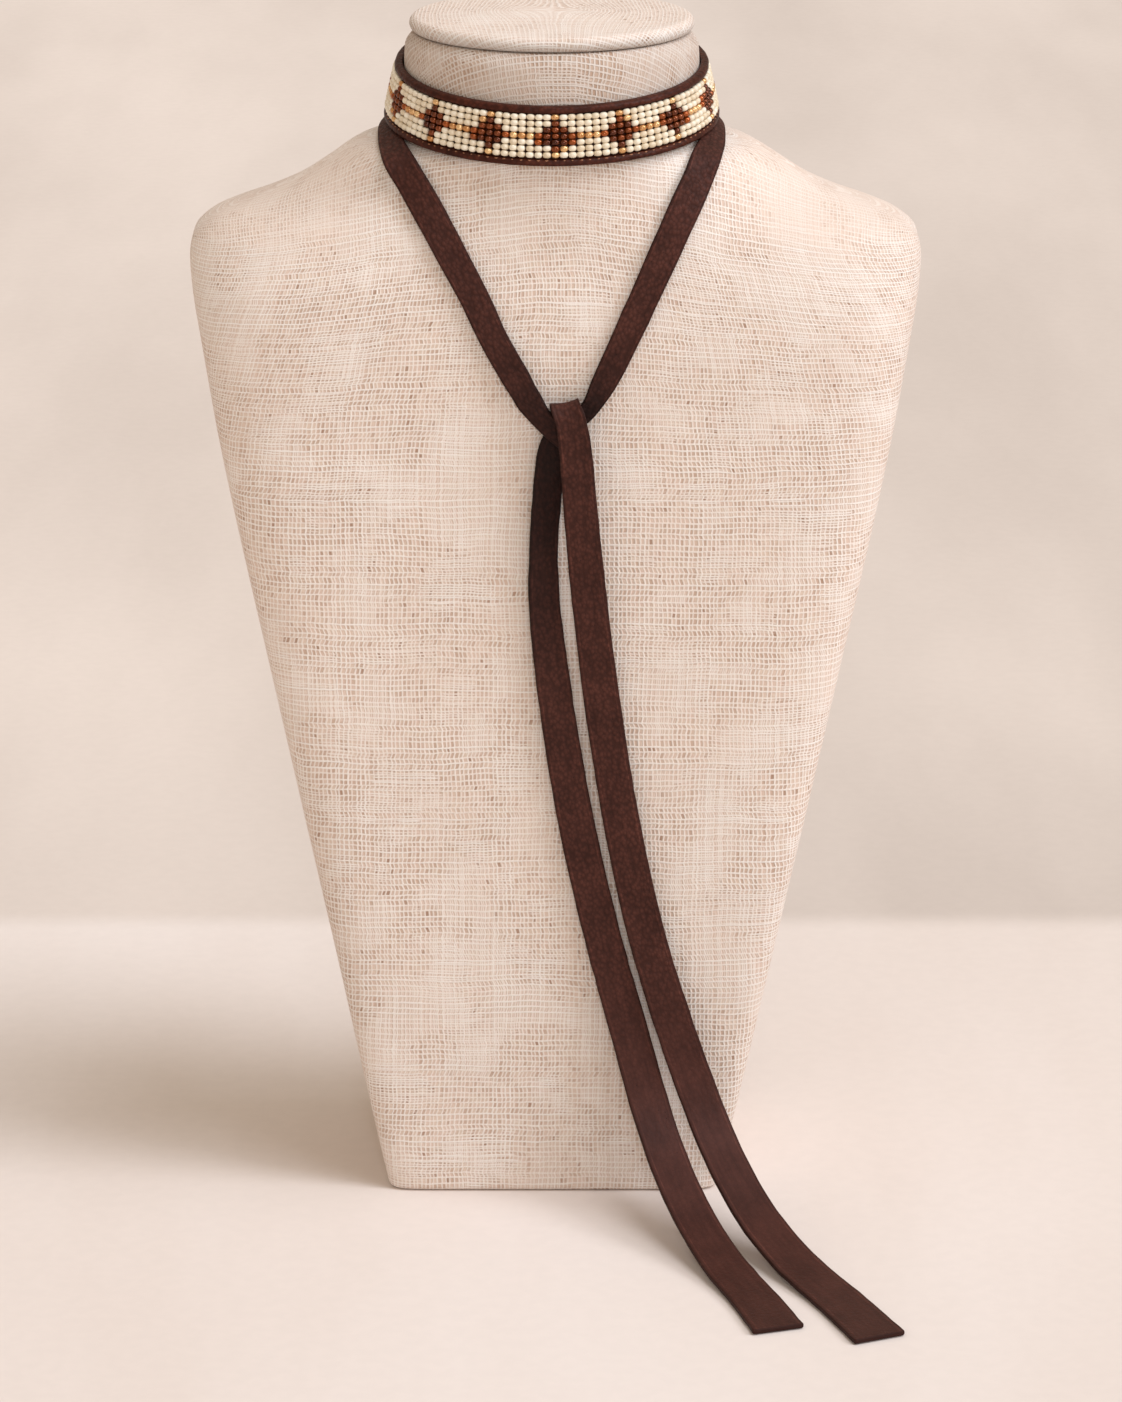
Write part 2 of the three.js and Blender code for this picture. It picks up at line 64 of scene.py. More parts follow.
# Each row of the table: z, then these five
WIDTH, DEPTH_IN_FRONT, DEPTH_BEHIND, SQUARENESS, SHIFT = range(1, 6)
BUST_SECTIONS = np.array(
    [
        (0, 62.4, 46.3, 44, 16, 0.2),
        (1.5, 63.5, 47.8, 45.5, 16, 0.2),
        (6, 64.6, 47.8, 45.6, 16, 0.3),
        (97, 84, 48.4, 47, 12, 1),
        (194, 104.4, 50.5, 49, 9, 1.2),
        (291, 124.2, 52.5, 50, 7, 1.3),
        (330, 131, 52.5, 49, 5.5, 1.4),
        (352, 134.6, 51, 47, 4.4, 1.4),
        (361.5, 135.4, 49.5, 45, 3.6, 1.4),
        (368, 134, 48.5, 43, 3.1, 1.3),
        (374, 128, 48, 42.5, 2.7, 1),
        (378.5, 118.5, 47.8, 42.5, 2.4, 0.9),
        (382.5, 107.5, 47.6, 43, 2.2, 0.9),
        (388, 95, 47.6, 44, 2.1, 1),
        (395, 84, 47.8, 45.5, 2, 1),
        (401.8, 73, 48.2, 46.5, 2, 0.3),
        (404.4, 65, 48.4, 47, 2, 0),
        (406.6, 59, 48.4, 47.3, 2, 0),
        (409, 55.8, 48.2, 47.4, 2, 0),
        (412, 54.6, 48, 47.4, 2, 0),
        (432, 54.3, 47.4, 47.2, 2, 0),
        (438, 53.9, 46.8, 46.8, 2, 0),
        (442.6, 50.9, 43.6, 43.6, 2, 0),
    ]
)
CAP = {"width": 52.3, "depth": 44.2, "bottom": 443, "thick": 5.6, "dome": 1.6}
BAND = {
    "tall": 20.4,
    "thick": 2.8,
    "core": 1,
    "roll": 2.35,
    "bottom": 411.5,
    "pitch": math.radians(7.7),
    "low": (59.3, 52.6),
    "high": (54.7, 48.6),
    "back_gap": 8,
}
BEADS = {"rows": 7, "row_pitch": 2.15, "column_pitch": 3.07, "outer": 3.2, "repeat": 8, "stretches": 9}
DIAMOND_ARC = 1.4
BEAD_SHIFT = DIAMOND_ARC - BEADS["column_pitch"] / 2
CLASP = {"wide": 24, "low": 0.22, "high": 0.78, "thick": 1.4}
STRAP_THICK = 1.9
STRAP_BEVEL = 0.62
GAP = 0.3

# ---------- mesh helpers


def ramp(value, low, high):
    """The value's place between low and high, from 0 to 1."""
    return np.clip((value - low) / (high - low), 0, 1)


def eased(value, low, high):
    """The same, but slow to leave low and slow to reach high."""
    t = ramp(value, low, high)
    return t * t * (3 - 2 * t)


def unit(vector):
    return vector / np.linalg.norm(vector)


def walked(points):
    """The distance from the first point to each along the line through them."""
    return np.concatenate([[0], np.cumsum(np.linalg.norm(np.diff(points, axis=0), axis=1))])


def ellipse(half_x, half_y, z, turn):
    """Points round an ellipse at a height, or round several."""
    return np.stack(np.broadcast_arrays(half_x * np.cos(turn), half_y * np.sin(turn), z), -1)


def add_piece(name, points, faces, material, nodes=(), slot=None, uv=None, values=None, rides=True):
    """A smooth mesh from points in millimetres; uv is for each face corner, values for each point."""
    mesh = bpy.data.meshes.new(name)
    mesh.from_pydata((np.asarray(points) * MM).tolist(), [], [list(face) for face in faces])
    mesh.materials.append(material)
    if uv is not None:
        mesh.uv_layers.new(name="flat").uv.foreach_set("vector", np.asarray(uv, np.float32).ravel())
    for attribute, numbers in (values or {}).items():
        made = mesh.attributes.new(attribute, "FLOAT", "POINT")
        made.data.foreach_set("value", np.asarray(numbers, np.float32))
    mesh.shade_smooth()
    mesh.update()
    piece = bpy.data.objects.new(name, mesh)
    bpy.context.scene.collection.objects.link(piece)
    if rides:
        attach(piece, BODY)
        if nodes:
            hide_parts(*nodes)
    return piece


def inside_out(points, triangles):
    """Whether the triangles of a closed mesh face inward."""
    a, b, c = np.moveaxis(points[triangles], 1, 0)
    return np.sum(a * np.cross(b, c)) < 0


def tube_faces(rings, size):
    """Quads between closed rings of points, and the ring and the place in it of each corner."""
    ring, place = np.meshgrid(np.arange(rings - 1), np.arange(size), indexing="ij")
    ring = ring.ravel()
    place = place.ravel()
    rows = np.stack([ring, ring, ring + 1, ring + 1], 1)
    columns = np.stack([place, place + 1, place + 1, place], 1)
    return rows * size + columns % size, rows, columns


def fan_faces(rings, size):
    """Triangles that close the two ends of a tube, about two centres that follow its points."""
    centre = rings * size
    here = np.arange(size)
    after = (here + 1) % size
    last = centre - size
    first_fan = np.stack([np.full(size, centre), after, here], 1)
    last_fan = np.stack([np.full(size, centre + 1), last + here, last + after], 1)
    return first_fan, last_fan


def loft(name, rings, material, flat_uv=None, values=None, **options):
    """A closed piece through rings of points, with its two ends closed by fans.

    flat_uv gives the two coordinates of every ring point, with one column more than the ring has
    points, and values gives named numbers for every ring point.
    """
    rings = np.asarray(rings)
    count, size = rings.shape[:2]
    quads, rows, columns = tube_faces(count, size)
    first_fan, last_fan = fan_faces(count, size)
    points = np.vstack([rings.reshape(-1, 3), rings[0].mean(0), rings[-1].mean(0)])
    triangles = np.vstack([quads[:, [0, 1, 2]], quads[:, [0, 2, 3]], first_fan, last_fan])
    step = -1 if inside_out(points, triangles) else 1
    faces = [*quads[:, ::step], *first_fan[:, ::step], *last_fan[:, ::step]]
    uv = None
    if flat_uv is not None:
        around = flat_uv[rows[:, ::step], columns[:, ::step]].reshape(-1, 2)
        fans = []
        for row, nearer, further in ((0, 1, 0), (-1, 0, 1)):
            centre = flat_uv[row, :size].mean(0)
            for place in range(size):
                corners = [centre, flat_uv[row, place + nearer], flat_uv[row, place + further]]
                fans.extend(corners[::step])
        uv = np.vstack([around, fans])
    values = {
        attribute: np.append(np.ravel(numbers), [numbers[0][0], numbers[-1][0]])
        for attribute, numbers in (values or {}).items()
    }
    add_piece(name, points, faces, material, uv=uv, values=values, **options)


# ---------- node helpers


class Graph:
    """Short calls for the nodes of one material."""

    def __init__(self, name):
        self.material = bpy.data.materials.new(name)
        self.material.use_nodes = True
        self.nodes = self.material.node_tree.nodes
        self.links = self.material.node_tree.links
        self.shader = self.nodes["Principled BSDF"]

    def feed(self, socket, value):
        """Links a socket to another node's socket, or sets its own number or colour."""
        if isinstance(value, bpy.types.NodeSocket):
            self.links.new(value, socket)
        else:
            socket.default_value = value

    def set(self, **inputs):
        """Feeds inputs of the shader, whose names have _ for a space."""
        for name, value in inputs.items():
            self.feed(self.shader.inputs[name.replace("_", " ")], value)

    def node(self, kind, *values, **named):
        """A new node, fed in the order of its inputs or by their names; small letters name settings."""
        node = self.nodes.new(f"ShaderNode{kind}")
        for setting in [key for key in named if key.islower()]:
            setattr(node, setting, named.pop(setting))
        for key, value in [*enumerate(values), *named.items()]:
            self.feed(node.inputs[key], value)
        return node

    def math(self, operation, *values):
        return self.node("Math", *values, operation=operation).outputs[0]

    def add(self, *values):
        return reduce(lambda a, b: self.math("ADD", a, b), values)

    def times(self, *values):
        return reduce(lambda a, b: self.math("MULTIPLY", a, b), values)

    def less(self, a, b):
        return self.math("SUBTRACT", a, b)

    def span(self, *values):
        """The first value's eased place between the next two, from 0 to 1 or between two more."""
        return self.node("MapRange", *values, interpolation_type="SMOOTHSTEP").outputs[0]

    def blend(self, a, b, share):
        """A number between a and b."""
        return self.add(a, self.times(self.less(b, a), share))

    def mix(self, share, a, b):
        """A colour between a and b."""
        node = self.node("Mix", share, data_type="RGBA")
        self.feed(node.inputs[6], a)
        self.feed(node.inputs[7], b)
        return node.outputs[2]

    def scaled(self, colour, share):
        """A colour, made lighter or darker by a factor."""
        return self.node("VectorMath", colour, Scale=share, operation="SCALE").outputs[0]

    def vector(self, x, y, z=0.0):
        return self.node("CombineXYZ", x, y, z).outputs[0]

    def parts(self, vector):
        return self.node("SeparateXYZ", vector).outputs[:3]

    def flat(self):
        """The place on the material laid out flat, in millimetres."""
        return self.node("UVMap", uv_map="flat").outputs[0]

    def value(self, attribute):
        return self.node("Attribute", attribute_name=attribute).outputs["Fac"]

    def place(self):
        """The place on the piece, in metres."""
        return self.node("TexCoord").outputs["Object"]

    def noise(self, vector, scale, detail=2.0, roughness=0.5):
        """Smooth noise about 0.5 and the same as three separate numbers."""
        node = self.node("TexNoise", Vector=vector, Scale=scale, Detail=detail, Roughness=roughness)
        return node.outputs[0], self.parts(node.outputs[1])

    def cells(self, vector, scale):
        """Distance to the nearest random point, and a random number for that point."""
        node = self.node("TexVoronoi", Vector=vector, Scale=scale)
        return node.outputs["Distance"], self.parts(node.outputs["Color"])[0]

    def chance(self, x, y=0.0):
        """A random number from 0 to 1 for each pair of whole numbers."""
        return self.node("TexWhiteNoise", Vector=self.vector(x, y), noise_dimensions="2D").outputs[0]

    def bump(self, height, distance, strength):
        return self.node("Bump", Height=height, Distance=distance, Strength=strength).outputs[0]


def shade(red, green, blue):
    """A linear colour from sRGB numbers of 0 to 255."""
    parts = [value / 255 for value in (red, green, blue)]
    return (*[p / 12.92 if p <= 0.04045 else ((p + 0.055) / 1.055) ** 2.4 for p in parts], 1.0)


# ---------- materials

# From one thread of the linen to the next, for those that run across and those that run down
ROW_PITCH = 2.2
COLUMN_PITCH = 1.6

LINEN = {
    "ground": shade(224, 199, 183),
    "warm_ground": shade(226, 205, 187),
    "faded": shade(230, 208, 192),
    "gap": shade(196, 164, 143),
    "pinhole": shade(140, 97, 68),
    "column": shade(249, 239, 230),
    "row": shade(252, 245, 238),
    # The neck's colour is painted shade
    "neck": shade(196, 160, 130),
}


def weave_threads(g, place, along, seed, half, soft, dull):
    """How much is seen of uneven threads with slubs, at a place counted in threads.

    half is half a thread's width, soft its edge's, and dull how much is seen of the dullest one.
    """
    index = g.math("FLOOR", place)
    middle = g.add(0.35, g.times(g.chance(index, seed), 0.3))
    apart = g.math("ABSOLUTE", g.less(g.less(place, index), middle))
    slub, _ = g.noise(g.vector(g.times(index, 3.7), g.times(along, 0.09), seed), 1.0, 2.0)
    wide = g.add(half, g.times(g.less(slub, 0.5), half))
    seen = g.span(apart, wide, g.add(wide, soft), 1.0, 0.0)
    shine = g.span(g.chance(index, seed + 5), 0.35, 1, dull, 1.0)
    return g.times(seen, g.add(g.times(g.less(slub, 0.5), 0.5), shine))


def linen_material(name, cover):
    """Loosely woven linen: clear pale threads across, closer ones down, and small gaps between.

    The weave fades towards the shoulders and the cap's top. Painted shade makes the neck darker and warmer,
    the cap's rim darker towards its underside and the bust darker towards its base.
    """
    g = Graph(name)
    flat = g.flat()
    u, v, _ = g.parts(flat)
    _, wander = g.noise(flat, 0.028, 1.0)
    _, ripple = g.noise(flat, 0.2, 1.0)
    shift = [
        g.add(g.times(g.less(wander[k], 0.5), 3.2), g.times(g.less(ripple[k], 0.5), 0.7)) for k in (0, 1)
    ]
    u = g.add(u, shift[0])
    v = g.add(v, shift[1])
    _, zone = g.noise(flat, 0.04, 2.0)
    row_place = g.math("DIVIDE", v, ROW_PITCH)
    row = g.math("FLOOR", g.add(row_place, 0.5))
    lean = g.times(g.less(g.chance(row, 31.0), 0.5), g.less(row_place, row), 1.6)
    column_place = g.math("DIVIDE", g.add(u, lean), COLUMN_PITCH)
    column = g.math("FLOOR", g.add(column_place, 0.5))
    close_rows = g.span(zone[0], 0.5, 0.6)
    close_columns = g.times(g.span(zone[1], 0.5, 0.6), 0.8)
    rows = weave_threads(g, row_place, u, 3.0, 0.1, 0.1, 0.7)
    between = weave_threads(g, g.add(row_place, 0.5), u, 43.0, 0.09, 0.08, 0.55)
    rows = g.math("MAXIMUM", rows, g.times(between, close_rows))
    columns = weave_threads(g, column_place, v, 23.0, 0.13, 0.13, 0.74)
    between = weave_threads(g, g.add(column_place, 0.5), v, 63.0, 0.11, 0.11, 0.45)
    columns = g.math("MAXIMUM", columns, g.times(between, close_columns))
    x, _, height = g.parts(g.place())
    open_share = g.span(zone[2], 0.34, 0.66, 0.4, -0.1)
    if cover == "bust":
        neck = g.span(height, 0.4, 0.415)
        top = g.times(g.span(height, 0.36, 0.38), g.span(g.math("ABSOLUTE", x), 0.045, 0.09))
        open_share = g.blend(open_share, -0.1, neck)
        contrast = g.times(g.span(zone[2], 0.3, 0.6, 0.74, 0.9), g.span(top, 0, 1, 1.0, 0.5))
        contrast = g.blend(contrast, 1.1, neck)
    else:
        contrast = g.span(height, 0.4455, 0.4485, 1.2, 0.6)
    missing = g.chance(column, row)
    aside = g.math("ABSOLUTE", g.less(column_place, column))
    gap = g.times(g.span(aside, 0.2, 0.4, 1.0, 0.0), g.span(rows, 0.05, 0.45, 1.0, 0.0))
    gap = g.times(gap, g.less(1.0, close_columns))
    hole = g.times(gap, g.span(missing, open_share, 1.0))
    pinhole = g.times(gap, g.span(missing, 0.982, 0.986))
    tint, _ = g.noise(g.vector(g.times(u, 0.35), g.times(v, 1.0)), 0.35, 2.0)
    cloth = g.mix(g.span(tint, 0.35, 0.7), LINEN["ground"], LINEN["warm_ground"])
    cloth = g.mix(g.less(1.0, contrast), cloth, LINEN["faded"])
    for seen, share, colour in (
        (hole, 0.8, "gap"),
        (pinhole, 0.5, "pinhole"),
        (columns, 0.95, "column"),
        (rows, 0.82, "row"),
    ):
        cloth = g.mix(g.times(seen, contrast, share), cloth, LINEN[colour])
    blotch, _ = g.noise(flat, 0.03, 3.0)
    # Random blotches, and painted shade that makes the cloth darker towards the bust's base
    tone = g.times(g.span(blotch, 0.3, 0.7, 0.985, 1.015), g.span(height, 0.0, 0.25, 0.93, 1.0))
    if cover == "bust":
        # Painted shade: the neck darker and warmer
        cloth = g.mix(g.times(neck, 0.25), cloth, LINEN["neck"])
        tone = g.times(tone, g.span(neck, 0, 1, 1.0, 0.83))
    else:
        # Painted shade: the cap's rim darker towards its underside
        tone = g.times(tone, g.span(height, 0.4425, 0.4495, 0.6, 1.0))
    cloth = g.scaled(cloth, tone)
    level = g.times(g.less(g.math("MAXIMUM", rows, g.times(columns, 0.8)), g.times(hole, 0.6)), contrast)
    g.set(Base_Color=cloth, Roughness=g.span(level, 0, 1, 0.95, 0.82), Specular_IOR_Level=0.25)
    g.set(Sheen_Weight=0.1, Sheen_Roughness=0.5, Normal=g.bump(level, 0.00045, 0.7))
    return g.material


def leather_material(name, dark, light, grain=1.0, gloss=0.46):
    """Smooth brown leather: fine grain, soft long streaks, small pores, and scuffed, dark-painted edges
    that also carry painted shade and a painted highlight. Painted shade darkens it in and under the knot
    and towards the floor.
    """
    g = Graph(name)
    flat = g.flat()
    u, v, _ = g.parts(flat)
    streak, _ = g.noise(g.vector(u, g.times(v, 0.09)), 0.5, 3.0)
    cloud, _ = g.noise(flat, 0.07, 3.0)
    fibre, _ = g.noise(flat, 2.2, 4.0, 0.65)
    tone = g.add(g.times(streak, 0.45), g.times(cloud, 0.55))
    colour = g.mix(g.span(tone, 0.34, 0.66), dark, light)
    colour = g.scaled(colour, g.span(fibre, 0.25, 0.75, 0.9, 1.1))
    distance, chance = g.cells(flat, 0.42)
    pore = g.times(g.span(distance, 0.05, 0.11, 1.0, 0.0), g.span(chance, 0.62, 0.66))
    colour = g.scaled(colour, g.span(pore, 0, 1, 1.0, 0.45))
    edge = g.value("edge")
    # Scuffed wear and a painted highlight: a lighter line along each edge of the faces
    edge_wear_and_highlight = g.times(g.span(edge, 0.01, 0.05), g.span(edge, 0.08, 0.13, 1.0, 0.0))
    scuff, _ = g.noise(flat, 0.25, 2.0)
    colour = g.scaled(colour, g.add(1.0, g.times(edge_wear_and_highlight, g.span(scuff, 0.3, 0.7, 0.1, 0.6))))
    # Dark edge paint on the rounded edges, side faces and tips' ends, which also serves as painted shade on
    # the side faces
    edge_paint_and_shade = g.times(g.span(edge, 0.12, 0.2, 1.0, 0.85), g.span(edge, 0.4, 0.8, 1.0, 0.75))
    colour = g.scaled(colour, edge_paint_and_shade)
    # Painted shade: darker in and under the knot, by row of the route
    colour = g.scaled(colour, g.less(1.0, g.times(g.value("knot_shade"), 0.7)))
    warp_u = g.add(u, g.times(g.less(fibre, 0.5), 0.8))
    pebble, _ = g.cells(g.vector(warp_u, g.times(v, 0.8)), 0.75)
    _, _, z = g.parts(g.place())
    share = g.span(z, 0.02, 0.12, 0.25, 1.0)
    colour = g.scaled(colour, g.blend(1.0, g.span(pebble, 0.15, 0.75, 1.18, 0.7), share))
    # Painted shade: the leather is darker towards the floor
    colour = g.scaled(colour, g.span(z, 0.0, 0.14, 0.86, 1.0))
    height = g.add(g.times(fibre, 0.4), g.times(pebble, share, -1.2), g.times(pore, -0.6))
    normal = g.bump(height, 0.0003 * grain, 0.9)
    rough = g.span(fibre, 0.2, 0.8, gloss, gloss + 0.14)
    g.set(Base_Color=colour, Roughness=rough, IOR=1.22, Normal=normal)
    return g.material


def bead_material(name, dark, light, roughness, metallic=0.0, coat=0.0):
    """Glossy glass beads, each of its own tone, with faint clouds in the glass."""
    g = Graph(name)
    tone = g.value("tone")
    cloud, _ = g.noise(g.place(), 900.0, 2.0)
    colour = g.mix(g.add(g.times(tone, 0.75), g.times(g.less(cloud, 0.5), 0.6), 0.12), dark, light)
    g.set(Base_Color=colour, Roughness=g.span(cloud, 0.3, 0.7, roughness * 0.8, roughness * 1.3))
    g.set(Metallic=metallic, Coat_Weight=coat, Coat_Roughness=0.12, Specular_IOR_Level=0.5)
    g.set(Normal=g.bump(cloud, 0.00003, 0.3))
    return g.material


def thread_material():
    """Waxed tan sewing thread with its twist."""
    g = Graph("tan_thread")
    x, y, z = g.parts(g.place())
    twist = g.math("SINE", g.times(g.add(x, g.times(z, 0.8), y), 9000.0))
    colour = g.mix(g.span(twist, -1, 1), shade(120, 72, 46), shade(178, 124, 88))
    g.set(Base_Color=colour, Roughness=0.6, Normal=g.bump(twist, 0.00004, 0.6))
    return g.material


def brass_material():
    """Brushed brass with slightly duller patches."""
    g = Graph("brass")
    x, y, z = g.parts(g.place())
    brushed, _ = g.noise(g.vector(g.times(x, 60.0), g.times(y, 60.0), g.times(z, 4000.0)), 1.0, 3.0)
    dull, _ = g.noise(g.place(), 180.0, 2.0)
    colour = g.mix(g.span(dull, 0.35, 0.65), shade(176, 141, 74), shade(150, 118, 62))
    g.set(Base_Color=colour, Metallic=1.0, Roughness=g.span(brushed, 0.3, 0.7, 0.26, 0.42))
    g.set(Normal=g.bump(brushed, 0.00003, 0.4))
    return g.material


def floor_material():
    """A pale tabletop that passes softly into a mottled backdrop painted on it behind the bust; painted
    shade makes the backdrop darker than the tabletop, darkest at its foot, and lighter on the left than on
    the right.
    """
    g = Graph("pale_floor")
    x, y, _ = g.parts(g.place())
    clouds, _ = g.noise(g.vector(x, g.times(y, 0.3)), 4.5, 4.0, 0.55)
    far = g.span(y, 0.231, 0.257)
    near = g.mix(g.span(clouds, 0.3, 0.7), shade(228, 215, 206), shade(235, 224, 217))
    # The backdrop's painted shade: a darker tone than the tabletop, darker still at its foot and towards
    # the right
    back = g.mix(g.span(clouds, 0.25, 0.75), shade(212, 199, 189), shade(228, 215, 205))
    back = g.scaled(back, g.times(g.span(y, 0.26, 0.6, 0.93, 1.0), g.span(x, -0.3, 0.3, 1.03, 0.975)))
    fine, _ = g.noise(g.place(), 160.0, 3.0)
    colour = g.scaled(g.mix(far, near, back), g.span(fine, 0.3, 0.7, 0.99, 1.01))
    g.set(Base_Color=colour, Roughness=0.9, Specular_IOR_Level=0.15)
    return g.material


linen = linen_material("linen_cover", "bust")
cap_cloth = linen_material("linen_cap", "cap")
strap_leather = leather_material("strap_leather", shade(66, 36, 29), shade(80, 45, 37))
band_leather = leather_material("band_leather", shade(60, 26, 17), shade(78, 37, 25), 0.6, 0.34)

# ---------- bust


def table_value(column, at):
    """Smooth interpolation of a column of the sections at heights, without overshoot."""
    keys = BUST_SECTIONS[:, 0]
    values = BUST_SECTIONS[:, column]
    rise = np.diff(values) / np.diff(keys)
    product = rise[:-1] * rise[1:]
    total = rise[:-1] + rise[1:]
    middle = np.where(product > 0, 2 * product / np.where(total == 0, 1, total), 0)
    slope = np.concatenate([rise[:1], middle, rise[-1:]])
    at = np.clip(at, keys[0], keys[-1])
    i = np.clip(np.searchsorted(keys, at) - 1, 0, len(keys) - 2)
    span = keys[i + 1] - keys[i]
    t = (at - keys[i]) / span
    blend = t * t * (3 - 2 * t)
    tangents = t * (1 - t) * ((1 - t) * slope[i] - t * slope[i + 1]) * span
    return values[i] * (1 - blend) + values[i + 1] * blend + tangents


def section(z):
    """The width, depth in front, depth behind, squareness and shift of the bust at a height."""
    return [float(table_value(column, z)) for column in range(WIDTH, SHIFT + 1)]


def bust_point(angle, z):
    """A point on the bust by the angle of the superellipse's own formula."""
    width, front, back, squareness, shift = section(z)
    across, along = [
        math.copysign(abs(value) ** (2 / squareness), value) for value in (math.cos(angle), math.sin(angle))
    ]
    return np.array([shift + width * across, (front if along < 0 else back) * along, z])


def front_angle(x, z):
    """The angle at which the front of the bust has the given X."""
    width, _, _, squareness, shift = section(z)
    across = max(-1, min(1, (x - shift) / width))
    return -math.acos(math.copysign(abs(across) ** (squareness / 2), across))


def bust_normal(angle, z):
    """The outward normal of the bust."""
    around = bust_point(angle + 0.03, z) - bust_point(angle - 0.03, z)
    up = bust_point(angle, z + 1) - bust_point(angle, z - 1)
    return unit(np.cross(around, up))


BUST_COLUMNS = 288
# A turn of one radian gets as many points as this many millimetres of straight section
TURN_WEIGHT = 7


def bust_row(z):
    """The section at a height as points from the middle of the back, round the front and back.

    The points lie closer where the section turns. Also gives their distance from the middle of the
    front along the section.
    """
    width, front, back, squareness, shift = section(z)
    turn = np.linspace(-1.5 * math.pi, 0.5 * math.pi, 15 * BUST_COLUMNS + 1)
    depth = np.where(np.sin(turn) < 0, front, back)
    shape = np.abs(np.cos(turn) / width) ** squareness + np.abs(np.sin(turn) / depth) ** squareness
    radius = shape ** (-1 / squareness)
    x = radius * np.cos(turn)
    y = radius * np.sin(turn)
    step = np.hypot(np.diff(x), np.diff(y))
    heading = np.unwrap(np.arctan2(np.diff(y), np.diff(x)))
    bend = np.abs(np.diff(heading, prepend=heading[0]))
    length = np.concatenate([[0], np.cumsum(step)])
    weight = np.concatenate([[0], np.cumsum(step + TURN_WEIGHT * bend)])
    at = np.arange(len(turn))
    middle = len(turn) // 2
    halves = [
        np.interp(np.linspace(weight[a], weight[b], BUST_COLUMNS // 2 + 1), weight, at)
        for a, b in ((0, middle), (middle, len(turn) - 1))
    ]
    places = np.concatenate([halves[0][:-1], halves[1]])
    x, y, along = [np.interp(places, at, values) for values in (x, y, length)]
    return np.stack([x + shift, y, np.full(len(places), z)], 1), along - length[middle]


# The part of the bust where threads are followed: from and to in Z, how far from the middle, and
# the size of the steps
FOLLOWED = {"low": 300, "high": 443.5, "reach": 138, "step": 0.5}

# How the linen lies on the bust. A pair is a stretch over which it passes from one lay to the next.
LAY = {
    "sides": (-20, 20),  # Y: from the front's threads to the back's
    "crossing": (358, 376),  # Z: columns turn to run straight up, over the shoulder
    "leaving": (396, 408),  # Z: and turn again, to run up the neck
    "drawn": (270, 370),  # Z: threads are drawn towards the neck
    "slack": (165, 315),  # from the middle round the bust: and are let go again
    "closer": 0.25,  # how much closer the drawn columns lie
    "drop": 0.2,  # how far the drawn rows drop for each millimetre to the side,
    "drop_round": 20,  # beyond about this from the middle
    "neck": (400, 408),  # Z: the neck's rows begin to curve,
    "curve": 0.0018,  # and drop this far times the distance round squared,
    "curve_reach": 60,  # up to this distance
    "parted_from": 404,  # Z: above it, columns part up the neck,
    "parted": 0.006,  # by this share for each millimetre
}


def way_over(depth_column, across, z):
    """How far up the cloth a point is, along a thread that runs up the bust and over the shoulder.

    The thread stays at its distance from the middle. It is followed up the front or the back,
    whose depth is in the given column.
    """
    low, step = FOLLOWED["low"], FOLLOWED["step"]
    steps = np.arange(low, FOLLOWED["high"], step)
    reach = np.arange(0, FOLLOWED["reach"], step)
    width, depth, squareness = [table_value(k, steps) for k in (WIDTH, depth_column, SQUARENESS)]
    inside = np.maximum(0, 1 - (reach[:, None] / width) ** squareness)
    inward = np.minimum(np.diff(depth * inside ** (1 / squareness), axis=1), 0)
    way = np.cumsum(np.hypot(step, inward), axis=1)
    way = low + np.concatenate([np.zeros((len(reach), 1)), way], 1)
    column = np.clip(across / step, 0, len(reach) - 1.001)
    row = np.clip((z - low) / step, 0, len(steps) - 1.001)
    i = column.astype(int)
    k = row.astype(int)
    right = column - i
    up = row - k
    below, above = [(1 - right) * way[i, k + n] + right * way[i + 1, k + n] for n in (0, 1)]
    return np.where(z < low, z, (1 - up) * below + up * above)


def make_bust():
    """The linen over the bust, with its threads laid out flat."""
    low_edge = [0, 0.4, 0.9, 1.5, 2.3, 3.2, 4.5]
    top_edge = [437, 438.2, 439.3, 440.3, 441.1, 441.9, 442.6]
    heights = np.r_[low_edge, 6:326:4, 326:352:2, 352:413:1.25, 413:437:3, top_edge]
    made = [bust_row(z) for z in heights]
    points = np.array([row for row, _ in made])
    along = np.array([distance for _, distance in made])
    x, y, z = np.moveaxis(points, 2, 0)
    across = np.abs(x - table_value(SHIFT, z))
    behind = eased(y, *LAY["sides"])
    in_front, at_back = [way_over(column, across, z) for column in (DEPTH_IN_FRONT, DEPTH_BEHIND)]
    climb = (1 - behind) * in_front + behind * at_back
    crossing = (1 - behind) * ramp(z, *LAY["crossing"]) * (1 - ramp(z, *LAY["leaving"]))
    sideways = along + (x - along) * crossing
    drawn = (1 - eased(np.abs(along), *LAY["slack"])) * ramp(z, *LAY["drawn"]) ** 2
    taut = LAY["slack"][0]
    sideways += LAY["closer"] * drawn * np.clip(sideways, -taut, taut)
    sideways *= 1 - LAY["parted"] * np.maximum(0, z - LAY["parted_from"])
    climb += LAY["drop"] * drawn * (np.hypot(x, LAY["drop_round"]) - LAY["drop_round"])
    climb += LAY["curve"] * ramp(z, *LAY["neck"]) * np.minimum(np.abs(along), LAY["curve_reach"]) ** 2
    flat = np.stack([sideways, climb], 2)
    loft("bust_linen", points[:, :-1], linen, flat_uv=flat, nodes=["bust_body"], slot="linen")


CAP_COLUMNS = 144
# How much longer than deep the cap's cloth is laid out, and where, so that it isn't the bust's again
CAP_LONGER = 1.18
CAP_CLOTH_AT = 300


